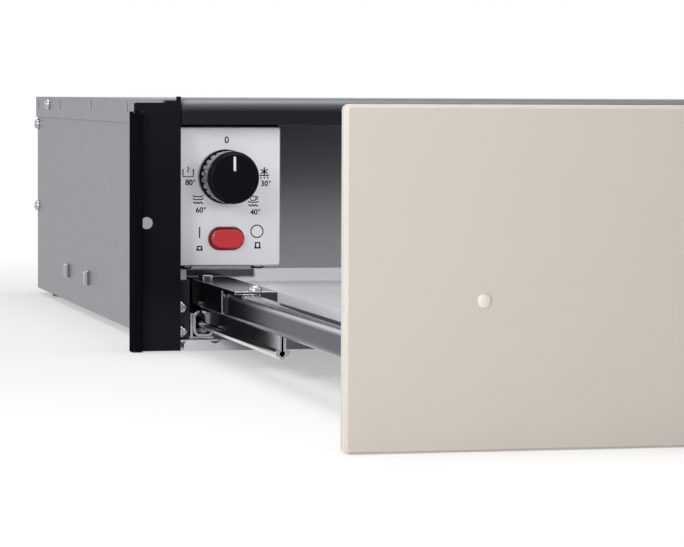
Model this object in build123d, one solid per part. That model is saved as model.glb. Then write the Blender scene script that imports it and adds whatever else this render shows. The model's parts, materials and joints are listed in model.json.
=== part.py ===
from build123d import *
import os

# A built-in warming drawer, 60 cm wide and 14 cm high, drawn with its drawer pulled right out.
# X runs to the right and is 0 in the middle, Y runs into the cabinet and is 0 at the front face
# of the black frame plates, Z runs up and is 0 on the floor of the cabinet niche.
# The drawer and the middle rails are drawn closed first and are then slid out.

# Driving dimensions, in millimetres
TRAVEL = 500.0                  # the drawer's way from closed to fully open
CLEAR = 0.3                     # gap between faces that slide past each other
RUNNING_FIT = 0.05              # radial gap of a shaft in its bore
HOLE_FIT = 0.1                  # radial gap of a screw in its hole

# Glass front and its carrier
PANEL_WIDTH = 596.0
PANEL_HEIGHT = 142.0
PANEL_BOTTOM = 0.2
GLASS = 6.0
GLASS_CORNER = 2.5
GLASS_BEVEL = 1.2
CARRIER_DEPTH = 12.0
CARRIER_WALL = 1.2
CARRIER_SIDE_INSET = 10.0       # glass edge to carrier edge
CARRIER_END_INSET = 9.8
CARRIER_ROUND = 4.0
CLOSED_GAP = 3.0                # closed carrier to the frame plates
DOT_RADIUS = 3.2
DOT_HEIGHT = 1.0
DOT_ROUND = 0.8
DOT_FROM_EDGE = 59.0
DOT_HEIGHT_UP = 62.0

# Casing sheets
SIDE_OVERLAP = 18.0             # glass front past the casing, on each side
CASING_REAR = 526.0
WALL_BOTTOM = 4.0
SHEET = 1.0
COVER_FLANGE = 14.5
WALL_FOOT = 12.0                # inward flange along the foot of a side wall
REAR_FLANGE = 20.0
CEILING_DROP = 14.2             # top of the cover to the underside of the ceiling
REAR_LINER_GAP = 2.0
REAR_LINER_INSET = 6.0
MAT_INSET = 2.5

# Black front frame
FRAME_INSET = 1.4               # glass edge to frame edge
FRAME_WIDTH = 26.8
FRAME_DROP = 1.8
FRAME_PLATE = 1.5
FRAME_CORNER = 1.2
FRAME_TAB_WIDTH = 9.0
FRAME_TAB_RISE = 1.1
FRAME_HOOK_WIDTH = 2.6
FRAME_HOOK_RISE = 3.5
FRAME_ANGLE_DEPTH = 15.0
FRAME_ANGLE_FOOT = 42.0
CABINET_HOLE_INSET = 7.3
CABINET_HOLE_Z = 72.5
CABINET_HOLE_RADIUS = 3.4
STRIP_WIDTH = 5.8
STRIP_LAP = 2.1                 # strip past the outer edge of the frame plate
STRIP_DROP = 4.9
STRIP_AHEAD = 9.0
STRIP_BEHIND = 3.0
STRIP_ROUND = 1.4
BAR_RISE = 0.8
BAR_AHEAD = 1.0
BAR_REAR = 14.0
BAR_WALL = 1.5
BAR_ROUND = 7.0
LIP_INSET = 1.8
LIP_SHEET = 1.0
LIP_HEIGHT = 6.1
LIP_AHEAD = 1.5
LIP_TREAD = 18.0
LIP_TAIL = 40.0
LIP_CORNER = 3.4
LIP_NOTCH_INSET = 18.0
LIP_NOTCH_RADIUS = 4.0

# Control fascia, with places counted from its left and lower edges
FASCIA_FRONT = 18.0
FASCIA_THICK = 1.2
FASCIA_WIDTH = 62.9
FASCIA_HEIGHT = 79.9
FASCIA_DROP = 1.2               # ceiling to the fascia's upper edge
FASCIA_FOLD = 12.0
FASCIA_BEVEL = 0.6
FASCIA_CORNER = 1.6
KNOB_IN = 30.1
KNOB_UP = 51.3
KNOB_TIP_GAP = 2.7              # closed glass to the knob's front
KNOB_SKIRT_RADIUS = 15.6
KNOB_SKIRT_HEIGHT = 5.0
KNOB_SKIRT_STEP = 0.7
KNOB_CAP_STEP = 1.1
KNOB_CAP_HEIGHT = 4.0
KNOB_EDGE = 0.6
KNOB_POCKET = 6.0               # free room round the knob in the carrier
KNOB_RIBS = 24
KNOB_RIB_DEPTH = 0.5
KNOB_RIB_RADIUS = 1.3
KNOB_WALL = 2.8
KNOB_HUB_WALL = 2.5
POINTER_WIDTH = 1.4
POINTER_LENGTH = 8.5
POINTER_INSET = 1.6
POINTER_DEPTH = 0.8
POINTER_PROUD = 0.1
SHAFT_RADIUS = 3.0
SHAFT_HOLE_GAP = 2.0
SELECTOR_SIZE = 34.0
SELECTOR_DEPTH = 22.0
BUTTON_IN = 31.1
BUTTON_UP = 15.8
BUTTON_LENGTH = 18.4
BUTTON_WIDTH = 10.8
BUTTON_PROUD = 5.2
BUTTON_ROUND = 0.9
BUTTON_TRAVEL = 3.0
BEZEL_RIM = 1.4
BEZEL_PROUD = 1.0
BUTTON_STEM = 10.0
SWITCH_DEPTH = 24.0
SWITCH_WALL = 3.0

# Service duct behind the fascia, with fan and heater
FAN_Y = 300.0
FAN_UP = 41.1                   # fascia's lower edge to the fan's axis
FAN_RADIUS = 29.0
FAN_WIDTH = 12.0
FAN_BLADES = 20
FAN_BLADE_LENGTH = 9.0
FAN_DISC = 1.0
FAN_GAP = 3.0
MOTOR_RADIUS = 23.0
MOTOR_LENGTH = 28.0
MOTOR_BEVEL = 3.0
MOTOR_SHAFT_RADIUS = 2.5
MOTOR_PLATE_HALF = 46.0
HEATER_GAP = 2.9
HEATER_TUBE = 2.6
HEATER_LEG_SPREAD = 3.6
HEATER_LEG_END = 8.0
GRILLE_EDGE = 5.0               # fan's rim to the outer ring of inlet holes
GRILLE_PITCH = 7.0
GRILLE_RINGS = 3
GRILLE_FIRST_COUNT = 6
GRILLE_STEP_COUNT = 5
GRILLE_HOLE_RADIUS = 2.2
OUTLET_SLOTS = 9
OUTLET_PITCH = 8.0
OUTLET_WIDTH = 3.0
OUTLET_HEIGHT = 50.0
OUTLET_START = 360.0
LIMITER_RADIUS = 8.0
LIMITER_HEIGHT = 6.0
LIMITER_Y = 240.0
TERMINAL_LENGTH = 40.0
TERMINAL_DEPTH = 30.0
TERMINAL_HEIGHT = 18.0
TERMINAL_FROM_REAR = 37.0
TERMINAL_WAYS = 3
GLAND_IN = 26.3
GLAND_UP = 15.1
GLAND_RIM = 2.0
GLAND_WALL = 2.8
GLAND_BORE = 4.2
GLAND_PROUD = 3.0
GLAND_INSIDE = 12.0
VENT_COUNT = 14
VENT_PITCH = 12.0
VENT_WIDTH = 4.0
VENT_HEIGHT = 22.0
VENT_Z = 90.0
VENT_X = 120.0
FLOOR_VENT_ROWS = 6
FLOOR_VENT_Y = 200.0

# Runners, with three members each
RUNNER_FROM_WALL = 22.4
CHANNEL_WIDTH = 12.0
CHANNEL_WALL = 1.4
CHANNEL_ROUND = 4.0
FIXED_BOTTOM = 7.5
FIXED_HEIGHT = 15.0
FIXED_FRONT = 5.0
FIXED_FROM_REAR = 21.0
MIDDLE_FRONT = 43.0
BALL_GAP = 0.8                  # bulb of the middle rail to a channel's wall
BULB_HEIGHT = 6.6
LOBE_RADIUS = 1.9
WEB_WIDTH = 3.6
WEB_WALL = 1.2
SLOT_GAP = 0.6                  # web of the middle rail to a channel's lip
BULB_HOLLOW_RADIUS = 1.5
RAIL_GAP = 2.0                  # fixed rail to drawer rail
RAIL_HEIGHT = 15.0
RAIL_SHORTER = 5.0
CAGE_LENGTH = 80.0
LOWER_CAGE_FRONT = 262.0
UPPER_CAGE_FRONT = 60.0
SUPPORT_SHEET = 1.5
SUPPORT_OUTER_RISE = 24.5
SUPPORT_INNER_RISE = 13.5
TIE_SHEET = 1.2
TIE_GAP = 2.3                   # rail to tie, sideways
TIE_RISE = 32.5
TIE_SCREW_INSET = 4.7
TIE_SCREW_RISE = 3.0
TIE_SCREW_PITCH = 14.0
HOOK_FROM_REAR = 130.0
HOOK_PITCH = 88.0
HOOK_RISE = 12.8
HOOK_HEIGHT = 9.3
HOOK_WIDTH = 6.0
HOOK_PROUD = 3.5
HOOK_ROUND = 2.0

# Tray and what carries it
TRAY_SIDE_GAP = 9.6             # drawer rail to the tray's side
TRAY_REAR_GAP = 1.0
TRAY_FLOOR_DROP = 1.5
TRAY_SKIRT_DROP = 10.5
TRAY_END_RISE = 4.3
BRACKET_LENGTH = 141.4
BRACKET_SIDE_LENGTH = 105.5
BRACKET_SHEET = 1.5
BRACKET_REAR_LAP = 16.0
BRACKET_SIDE_REACH = 12.5
BRACKET_FRONT_REACH = 9.5
CROSS_BAR_AHEAD = 33.0
CROSS_BAR_WIDTH = 25.0
CROSS_BAR_SHEET = 2.0
STRIKER_HALF = 8.0
STRIKER_REACH = 16.0
STRIKER_SHEET = 2.0
STRIKER_GAP = 6.0
LATCH_REAR_GAP = 2.0
LATCH_LENGTH = 23.0
LATCH_HALF = 14.0
LATCH_DROP = 3.0
PLUNGER_RADIUS = 4.0
PLUNGER_TRAVEL = 5.0
PLUNGER_RISE = 9.0
BUMPER_RADIUS = 4.0
BUMPER_GAP = 0.6
BUMPER_SIDE_INSET = 7.0
BUMPER_END_INSET = 14.0
FOOT_RADIUS = 9.0
FOOT_FROM_REAR = 40.0
FOOT_FROM_SIDE = 14.0
FOOT_BEVEL = 1.0

# Fasteners
HEAD_RADIUS = 3.7
HEAD_HEIGHT = 3.2
HEAD_RIM = 0.6                  # upright part of a round head
SHANK_RADIUS = 1.7
SHANK_LENGTH = 7.0
SHORT_SHANK = 4.0
RAIL_SHANK = 2.8                # ends above the ball cage
RECESS_WIDTH = 0.9
RECESS_LENGTH = 4.2
RECESS_DEPTH = 1.4
LOW_HEAD_HEIGHT = 2.0
HEX_ACROSS = 7.0
HEX_HEIGHT = 2.8
REAR_SCREW_DROP = 19.6
REAR_SCREW_PITCH = 58.9
REAR_SCREW_FROM_REAR = 6.0
COVER_SCREW_DROP = 5.2
COVER_SCREW_FROM_REAR = 66.0
LANCES_FROM_REAR = (11.0, 120.0, 259.0, 401.0)
LANCE_LENGTH = 6.5
LANCE_WIDTH = 1.6
BOLT_OFFSET = 3.0               # runner's middle to bolt
BOLT_FROM_REAR = 12.0
BRACKET_SCREW_OFFSET = 4.3
BRACKET_SCREW_FROM_EDGE = 4.6
ANGLE_SCREW_DROP = 5.5
ANGLE_LENGTH = 25.0
FASCIA_SCREW_IN = 8.9
FASCIA_SCREW_PITCH = 41.8

# Places that follow from the dimensions above: front
PANEL_HALF = PANEL_WIDTH / 2
PANEL_TOP = PANEL_BOTTOM + PANEL_HEIGHT
PANEL_AHEAD = GLASS + CARRIER_DEPTH + CLOSED_GAP
PANEL_BACK = GLASS - PANEL_AHEAD
CARRIER_BACK = PANEL_BACK + CARRIER_DEPTH
CARRIER_HALF = PANEL_HALF - CARRIER_SIDE_INSET
CARRIER_BOTTOM = PANEL_BOTTOM + CARRIER_END_INSET
CARRIER_TOP = PANEL_TOP - CARRIER_END_INSET
BUMPER_X = CARRIER_HALF - BUMPER_SIDE_INSET
BUMPER_ZS = (CARRIER_BOTTOM + BUMPER_END_INSET, CARRIER_TOP - BUMPER_END_INSET)

# Casing and frame
CASING_TOP = PANEL_TOP
CASING_HALF = PANEL_HALF - SIDE_OVERLAP
WALL_OUTER = CASING_HALF - SHEET
WALL_INNER = WALL_OUTER - SHEET
COVER_UNDER = CASING_TOP - SHEET
FLANGE_FOOT = CASING_TOP - COVER_FLANGE
CEILING_Z = CASING_TOP - CEILING_DROP
REAR_SHEET_BACK = CASING_REAR - SHEET
REAR_SHEET_FRONT = REAR_SHEET_BACK - SHEET
LINER_BACK = REAR_SHEET_FRONT - REAR_LINER_GAP
LINER_FRONT = LINER_BACK - SHEET
FLOOR_SHEET_BOTTOM = WALL_BOTTOM + SHEET
FLOOR_SHEET_TOP = FLOOR_SHEET_BOTTOM + SHEET
FRAME_OUTER = PANEL_HALF - FRAME_INSET
FRAME_INNER = FRAME_OUTER - FRAME_WIDTH
FRAME_TOP = CASING_TOP - FRAME_DROP
CABINET_HOLE_X = FRAME_OUTER - CABINET_HOLE_INSET
STRIP_OUTER = FRAME_OUTER + STRIP_LAP
STRIP_INNER = STRIP_OUTER - STRIP_WIDTH
STRIP_TOP = FRAME_TOP - STRIP_DROP
BAR_TOP = CASING_TOP + BAR_RISE
LIP_HALF = FRAME_INNER - LIP_INSET
LIP_NOTCH_X = LIP_HALF - LIP_NOTCH_INSET
REAR_SCREW_Y = REAR_SHEET_BACK - REAR_SCREW_FROM_REAR
REAR_SCREW_ZS = (CASING_TOP - REAR_SCREW_DROP, CASING_TOP - REAR_SCREW_DROP - REAR_SCREW_PITCH)
COVER_SCREW_Y = CASING_REAR - COVER_SCREW_FROM_REAR
COVER_SCREW_Z = CASING_TOP - COVER_SCREW_DROP
LANCE_YS = [CASING_REAR - distance for distance in LANCES_FROM_REAR]

# Fascia and controls
FASCIA_BACK = FASCIA_FRONT + FASCIA_THICK
FASCIA_LEFT = -FRAME_INNER - FRAME_PLATE
FASCIA_RIGHT = FASCIA_LEFT + FASCIA_WIDTH
FASCIA_TOP = CEILING_Z - FASCIA_DROP
FASCIA_BOTTOM = FASCIA_TOP - FASCIA_HEIGHT
FASCIA_SCREW_XS = (FASCIA_LEFT + FASCIA_SCREW_IN, FASCIA_LEFT + FASCIA_SCREW_IN + FASCIA_SCREW_PITCH)
FASCIA_SCREW_Y = FASCIA_BACK + FASCIA_FOLD / 2
KNOB_X = FASCIA_LEFT + KNOB_IN
KNOB_Z = FASCIA_BOTTOM + KNOB_UP
KNOB_BACK = FASCIA_FRONT - CLEAR
KNOB_FRONT = PANEL_BACK + KNOB_TIP_GAP
KNOB_GRIP_RADIUS = KNOB_SKIRT_RADIUS - KNOB_SKIRT_STEP
KNOB_CAP_RADIUS = KNOB_GRIP_RADIUS - KNOB_CAP_STEP
KNOB_HOLLOW = KNOB_CAP_RADIUS - KNOB_WALL
KNOB_HUB_RADIUS = SHAFT_RADIUS + KNOB_HUB_WALL
POINTER_OUTER = KNOB_CAP_RADIUS - POINTER_INSET
BUTTON_X = FASCIA_LEFT + BUTTON_IN
BUTTON_Z = FASCIA_BOTTOM + BUTTON_UP

# Duct
DUCT_WALL_X = FASCIA_RIGHT - SHEET
DUCT_FLOOR = FASCIA_BOTTOM + FASCIA_THICK
DUCT_INSIDE_Z = DUCT_FLOOR + SHEET
FAN_Z = FASCIA_BOTTOM + FAN_UP
FAN_FACE = DUCT_WALL_X - FAN_GAP
FAN_BACK = FAN_FACE - FAN_WIDTH
MOTOR_FACE = FAN_BACK - 2 * FAN_GAP
HEATER_RADIUS = FAN_RADIUS + HEATER_GAP + HEATER_TUBE
TERMINAL_REAR = LINER_BACK - TERMINAL_FROM_REAR
GLAND_X = FASCIA_LEFT + GLAND_IN
GLAND_Z = FASCIA_BOTTOM + GLAND_UP
GLAND_NECK = GLAND_BORE + GLAND_WALL
GLAND_RADIUS = GLAND_NECK + GLAND_RIM

# Runners, tray and latch
RUNNER_X = WALL_INNER - RUNNER_FROM_WALL
RAIL_OUTER = RUNNER_X + CHANNEL_WIDTH / 2
RAIL_INNER = RUNNER_X - CHANNEL_WIDTH / 2
CHANNEL_SLOT = WEB_WIDTH + 2 * SLOT_GAP
BULB_WIDTH = CHANNEL_WIDTH - 2 * CHANNEL_WALL - 2 * BALL_GAP
WEB_HOLLOW = WEB_WIDTH - 2 * WEB_WALL
FIXED_TOP = FIXED_BOTTOM + FIXED_HEIGHT
FIXED_REAR = LINER_FRONT - FIXED_FROM_REAR
RAIL_BOTTOM = FIXED_TOP + RAIL_GAP
RAIL_TOP = RAIL_BOTTOM + RAIL_HEIGHT
RAIL_REAR = FIXED_REAR - RAIL_SHORTER
LOWER_BULB_Z = (FIXED_BOTTOM + FIXED_TOP) / 2
UPPER_BULB_Z = (RAIL_BOTTOM + RAIL_TOP) / 2
TIE_FRONT = FRAME_PLATE + HEAD_HEIGHT + CLEAR
TIE_BACK = TIE_FRONT + TIE_SHEET
TIE_INNER = RAIL_OUTER + TIE_GAP
TIE_TOP = FIXED_BOTTOM + TIE_RISE
TIE_SCREW_X = TIE_INNER + TIE_SCREW_INSET
TIE_SCREW_ZS = (FIXED_BOTTOM + TIE_SCREW_RISE, FIXED_BOTTOM + TIE_SCREW_RISE + TIE_SCREW_PITCH)
HOOK_YS = (FIXED_REAR - HOOK_FROM_REAR - HOOK_PITCH, FIXED_REAR - HOOK_FROM_REAR)
HOOK_BOTTOM = FIXED_BOTTOM + HOOK_RISE
HOOK_TOP = HOOK_BOTTOM + HOOK_HEIGHT
BRACKET_TOP = RAIL_TOP + BRACKET_SHEET
BRACKET_OUTER = RAIL_OUTER + BRACKET_SHEET
TRAY_HALF = RAIL_INNER - TRAY_SIDE_GAP
TRAY_REAR = LINER_FRONT - TRAY_REAR_GAP
TRAY_RIM = BRACKET_TOP
TRAY_FLOOR = RAIL_TOP - TRAY_FLOOR_DROP
TRAY_SKIRT = RAIL_TOP - TRAY_SKIRT_DROP
TRAY_END_RIM = TRAY_RIM + TRAY_END_RISE
BRACKET_REAR = TRAY_REAR - SHEET
BRACKET_FRONT = BRACKET_REAR - BRACKET_LENGTH
BRACKET_SCREW_X = RUNNER_X - BRACKET_SCREW_OFFSET
BRACKET_SCREW_Y = BRACKET_FRONT + BRACKET_SCREW_FROM_EDGE
BOLT_X = RUNNER_X + BOLT_OFFSET
BOLT_Y = RAIL_REAR - BOLT_FROM_REAR
ANGLE_SCREW_X = (TRAY_HALF + RAIL_INNER - BRACKET_SHEET) / 2
ANGLE_SCREW_Z = RAIL_TOP - ANGLE_SCREW_DROP
CROSS_BAR_BOTTOM = TRAY_SKIRT - CROSS_BAR_SHEET
CROSS_BAR_YS = (CARRIER_BACK + CROSS_BAR_AHEAD, RAIL_REAR - CROSS_BAR_WIDTH)
LATCH_REAR = LINER_FRONT - LATCH_REAR_GAP
LATCH_FRONT = LATCH_REAR - LATCH_LENGTH
LATCH_TOP = CROSS_BAR_BOTTOM - LATCH_DROP
PLUNGER_Z = FLOOR_SHEET_TOP + PLUNGER_RISE
STRIKER_BACK = LATCH_FRONT - STRIKER_GAP
STRIKER_BOTTOM = CROSS_BAR_BOTTOM - STRIKER_REACH
OUT = Pos(0, -TRAVEL, 0)
HALF_OUT = Pos(0, -TRAVEL / 2, 0)


def block(x_span, y_span, z_span):
    """Box that fills a span along each axis."""
    spans = (x_span, y_span, z_span)
    middle = [(low + high) / 2 for low, high in spans]
    return Pos(*middle) * Box(*[abs(high - low) for low, high in spans])


def along_y(section, front, back):
    """Bar with an X-Z section between two depths."""
    plane = Plane(origin=(0, back, 0), x_dir=(1, 0, 0), z_dir=(0, -1, 0))
    return extrude(plane * section, amount=back - front)


def along_x(section, left, right):
    """Bar with a Y-Z section between two widths."""
    plane = Plane(origin=(left, 0, 0), x_dir=(0, 1, 0), z_dir=(1, 0, 0))
    return extrude(plane * section, amount=right - left)


def rod_y(x, z, radius, front, back):
    return along_y(Pos(x, z) * Circle(radius), front, back)


def rod_x(y, z, radius, left, right):
    return along_x(Pos(y, z) * Circle(radius), left, right)


def rod_z(x, y, radius, bottom, top):
    return Pos(x, y, (bottom + top) / 2) * Cylinder(radius, top - bottom)


def rectangle(low_x, high_x, low_y, high_y):
    middle = Pos((low_x + high_x) / 2, (low_y + high_y) / 2)
    return middle * Rectangle(high_x - low_x, high_y - low_y)


def other_side(shape):
    """The same piece for the right-hand side."""
    return mirror(shape, about=Plane.YZ)


def screw(head_height=HEAD_HEIGHT, shank_length=SHANK_LENGTH):
    """Round-head cross-slot screw that stands on the origin, head up."""
    head = Pos(0, 0, head_height / 2) * Cylinder(HEAD_RADIUS, head_height)
    head = fillet(head.edges().group_by(Axis.Z)[-1], head_height - HEAD_RIM)
    depth = min(RECESS_DEPTH, head_height / 2)
    for turn in (0, 90):
        slot = Pos(0, 0, head_height - depth / 2) * Box(RECESS_LENGTH, RECESS_WIDTH, depth)
        head -= Rot(0, 0, turn) * slot
    return head + Pos(0, 0, -shank_length / 2) * Cylinder(SHANK_RADIUS, shank_length)


def hex_bolt():
    """Short hexagon-head bolt that stands on the origin, head up."""
    head = extrude(RegularPolygon(HEX_ACROSS / 2, 6, major_radius=False), amount=HEX_HEIGHT)
    return head + Pos(0, 0, -RAIL_SHANK / 2) * Cylinder(SHANK_RADIUS, RAIL_SHANK)


def face_front(x, y, z):
    """Turns a screw so that its head looks to the front."""
    return Pos(x, y, z) * Rot(90, 0, 0)


def face_back(x, y, z):
    return Pos(x, y, z) * Rot(-90, 0, 0)


def face_left(x, y, z):
    return Pos(x, y, z) * Rot(0, -90, 0)


# ---- Casing ---------------------------------------------------------------------------------

def lance(y, left, right):
    """Crescent slot that is punched through the cover's flange and the wall behind it."""
    moon = Circle(LANCE_LENGTH / 2) - Pos(LANCE_WIDTH, 0) * Circle(LANCE_LENGTH / 2)
    return along_x(Pos(y, COVER_SCREW_Z) * moon, left, right)


def side_wall_left():
    wall = block((-WALL_OUTER, -WALL_INNER), (FRAME_PLATE, REAR_SHEET_BACK), (WALL_BOTTOM, COVER_UNDER))
    wall += block(
        (-WALL_INNER, WALL_FOOT - WALL_OUTER),
        (FRAME_PLATE, REAR_SHEET_BACK),
        (WALL_BOTTOM, FLOOR_SHEET_BOTTOM),
    )
    for z in REAR_SCREW_ZS:
        wall -= rod_x(REAR_SCREW_Y, z, SHANK_RADIUS + HOLE_FIT, -WALL_OUTER, -WALL_INNER)
    wall -= rod_x(COVER_SCREW_Y, COVER_SCREW_Z, SHANK_RADIUS + HOLE_FIT, -WALL_OUTER, -WALL_INNER)
    for y in LANCE_YS:
        wall -= lance(y, -WALL_OUTER, -WALL_INNER)
    for y in HOOK_YS:
        wall -= block(
            (-WALL_OUTER, -WALL_INNER),
            (y - HOOK_WIDTH / 2 - HOLE_FIT, y + HOOK_WIDTH / 2 + HOLE_FIT),
            (HOOK_BOTTOM - HOLE_FIT, HOOK_TOP + HOLE_FIT),
        )
    return wall


def bottom_panel():
    depth = (FRAME_PLATE, REAR_SHEET_FRONT)
    panel = block((-WALL_INNER, WALL_INNER), depth, (FLOOR_SHEET_BOTTOM, FLOOR_SHEET_TOP))
    for side in (-1, 1):
        for row in range(FLOOR_VENT_ROWS):
            y = FLOOR_VENT_Y + row * VENT_PITCH
            middle = side * VENT_X
            panel -= block(
                (middle - VENT_HEIGHT, middle + VENT_HEIGHT),
                (y - VENT_WIDTH / 2, y + VENT_WIDTH / 2),
                (FLOOR_SHEET_BOTTOM, FLOOR_SHEET_TOP),
            )
    return panel


def rear_panel():
    heights = (FLOOR_SHEET_BOTTOM, COVER_UNDER)
    panel = block((-WALL_INNER, WALL_INNER), (REAR_SHEET_FRONT, REAR_SHEET_BACK), heights)
    flange_heights = (FLOOR_SHEET_TOP, CEILING_Z - CLEAR)
    for side in (-1, 1):
        span = sorted((side * (WALL_INNER - SHEET), side * WALL_INNER))
        panel += block(span, (REAR_SHEET_BACK - REAR_FLANGE, REAR_SHEET_FRONT), flange_heights)
        for z in REAR_SCREW_ZS:
            panel -= rod_x(REAR_SCREW_Y, z, SHANK_RADIUS, *span)
    first = VENT_X - (VENT_COUNT - 1) * VENT_PITCH / 2
    for index in range(VENT_COUNT):
        x = first + index * VENT_PITCH
        panel -= block(
            (x - VENT_WIDTH / 2, x + VENT_WIDTH / 2),
            (REAR_SHEET_FRONT, REAR_SHEET_BACK),
            (VENT_Z - VENT_HEIGHT / 2, VENT_Z + VENT_HEIGHT / 2),
        )
    return panel - rod_y(GLAND_X, GLAND_Z, GLAND_NECK + HOLE_FIT, REAR_SHEET_FRONT, REAR_SHEET_BACK)


def top_cover():
    cover = block((-CASING_HALF, CASING_HALF), (FRAME_PLATE, CASING_REAR), (COVER_UNDER, CASING_TOP))
    cover -= block((-FRAME_INNER, FRAME_INNER), (FRAME_PLATE, BAR_REAR), (COVER_UNDER, CASING_TOP))
    heights = (FLANGE_FOOT, COVER_UNDER)
    cover += block((-CASING_HALF, CASING_HALF), (REAR_SHEET_BACK, CASING_REAR), heights)
    for side in (-1, 1):
        span = sorted((side * WALL_OUTER, side * CASING_HALF))
        cover += block(span, (FRAME_PLATE, REAR_SHEET_BACK), heights)
        for y in LANCE_YS:
            cover -= lance(y, *span)
        cover -= rod_x(COVER_SCREW_Y, COVER_SCREW_Z, SHANK_RADIUS + HOLE_FIT, *span)
    return cover


def frame_plate_left():
    outline = rectangle(-FRAME_OUTER, -FRAME_INNER, 0, FRAME_TOP)
    outline = fillet(outline.vertices().group_by(Axis.X)[0], FRAME_CORNER)
    for width, rise in ((FRAME_TAB_WIDTH, FRAME_TAB_RISE), (FRAME_HOOK_WIDTH, FRAME_HOOK_RISE)):
        outline += rectangle(-FRAME_INNER - width, -FRAME_INNER, FRAME_TOP, FRAME_TOP + rise)
    plate = along_y(outline, 0, FRAME_PLATE)
    plate += block(
        (-FRAME_INNER - FRAME_PLATE, -FRAME_INNER),
        (FRAME_PLATE, FASCIA_FRONT),
        (FRAME_ANGLE_FOOT, CEILING_Z - CLEAR),
    )
    plate += block(
        (-WALL_INNER, SHEET - WALL_INNER),
        (FRAME_PLATE, FRAME_PLATE + FRAME_ANGLE_DEPTH),
        (FRAME_ANGLE_FOOT, CEILING_Z - CLEAR),
    )
    return plate - rod_y(-CABINET_HOLE_X, CABINET_HOLE_Z, CABINET_HOLE_RADIUS, 0, FRAME_PLATE)


def edge_strip_left():
    front = block((-STRIP_OUTER, -STRIP_INNER), (-STRIP_AHEAD, 0), (0, STRIP_TOP))
    front = fillet(front.edges().group_by(Axis.Y)[0], STRIP_ROUND)
    return front + block((-STRIP_OUTER, -FRAME_OUTER), (0, STRIP_BEHIND), (0, STRIP_TOP))


def top_front_bar():
    outer = rectangle(-BAR_AHEAD, BAR_REAR, CEILING_Z, BAR_TOP)
    corner = outer.vertices().sort_by(Axis.X)[:2].sort_by(Axis.Y)[-1]
    outer = fillet(corner, BAR_ROUND)
    inner = offset(outer, amount=-BAR_WALL)
    return along_x(outer - inner, CLEAR - FRAME_INNER, FRAME_INNER - CLEAR)


def bottom_front_rail():
    face = rectangle(-LIP_HALF, LIP_HALF, 0, LIP_HEIGHT)
    face = fillet(face.vertices().group_by(Axis.Y)[-1], LIP_CORNER)
    for side in (-1, 1):
        face -= Pos(side * LIP_NOTCH_X, LIP_HEIGHT + LIP_NOTCH_RADIUS / 2) * Circle(LIP_NOTCH_RADIUS)
    rail = along_y(face, -LIP_AHEAD, LIP_SHEET - LIP_AHEAD)
    half = WALL_OUTER - WALL_FOOT - CLEAR
    tread = rectangle(LIP_SHEET - LIP_AHEAD, LIP_TREAD, 0, LIP_SHEET)
    tread += rectangle(LIP_TREAD - LIP_SHEET, LIP_TREAD, 0, FLOOR_SHEET_BOTTOM)
    tread += rectangle(LIP_TREAD, LIP_TAIL, FLOOR_SHEET_BOTTOM - LIP_SHEET, FLOOR_SHEET_BOTTOM)
    return rail + along_x(tread, -half, half)


def rear_feet():
    feet = []
    for side in (-1, 1):
        x = side * (WALL_OUTER - FOOT_FROM_SIDE)
        y = REAR_SHEET_BACK - FOOT_FROM_REAR
        foot = rod_z(x, y, FOOT_RADIUS, 0, WALL_BOTTOM)
        feet.append(chamfer(foot.edges().group_by(Axis.Z)[0], FOOT_BEVEL))
    return feet


def cavity_ceiling():
    return block((-WALL_INNER, WALL_INNER), (BAR_REAR, LINER_FRONT), (CEILING_Z, CEILING_Z + SHEET))


def insulation_mat():
    return block(
        (MAT_INSET - WALL_INNER, WALL_INNER - MAT_INSET),
        (BAR_REAR + MAT_INSET, LINER_FRONT),
        (CEILING_Z + SHEET, COVER_UNDER - CLEAR),
    )


def cavity_rear_wall():
    half = WALL_INNER - REAR_LINER_INSET
    depth = (LINER_FRONT, LINER_BACK)
    wall = block((-half, half), depth, (FLOOR_SHEET_TOP, DUCT_FLOOR - CLEAR))
    return wall + block((DUCT_WALL_X + SHEET, half), depth, (DUCT_FLOOR - CLEAR, CEILING_Z + SHEET))


def service_duct():
    """Sheet that walls off the left side of the cavity, with the fan's inlet and outlet."""
    depth = (FASCIA_BACK, LINER_BACK)
    duct = block((DUCT_WALL_X, DUCT_WALL_X + SHEET), depth, (DUCT_FLOOR, CEILING_Z))
    left = SHEET + CLEAR - WALL_INNER
    duct += block((left, DUCT_WALL_X), depth, (DUCT_FLOOR, DUCT_INSIDE_Z))
    for x in FASCIA_SCREW_XS:
        duct -= rod_z(x, FASCIA_SCREW_Y, SHANK_RADIUS, DUCT_FLOOR, DUCT_INSIDE_Z)
    first_ring = FAN_RADIUS - GRILLE_EDGE - (GRILLE_RINGS - 1) * GRILLE_PITCH
    for ring in range(GRILLE_RINGS):
        radius = first_ring + ring * GRILLE_PITCH
        holes = GRILLE_FIRST_COUNT + ring * GRILLE_STEP_COUNT
        for place in PolarLocations(radius, holes):
            y = FAN_Y + place.position.X
            z = FAN_Z + place.position.Y
            duct -= rod_x(y, z, GRILLE_HOLE_RADIUS, DUCT_WALL_X, DUCT_WALL_X + SHEET)
    for index in range(OUTLET_SLOTS):
        y = OUTLET_START + index * OUTLET_PITCH
        duct -= block(
            (DUCT_WALL_X, DUCT_WALL_X + SHEET),
            (y - OUTLET_WIDTH / 2, y + OUTLET_WIDTH / 2),
            (FAN_Z - OUTLET_HEIGHT / 2, FAN_Z + OUTLET_HEIGHT / 2),
        )
    return duct


# ---- Controls -------------------------------------------------------------------------------

def stadium(grow=0.0):
    """Outline of the power button, grown all round."""
    return Pos(BUTTON_X, BUTTON_Z) * SlotOverall(BUTTON_LENGTH + 2 * grow, BUTTON_WIDTH + 2 * grow)


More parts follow.
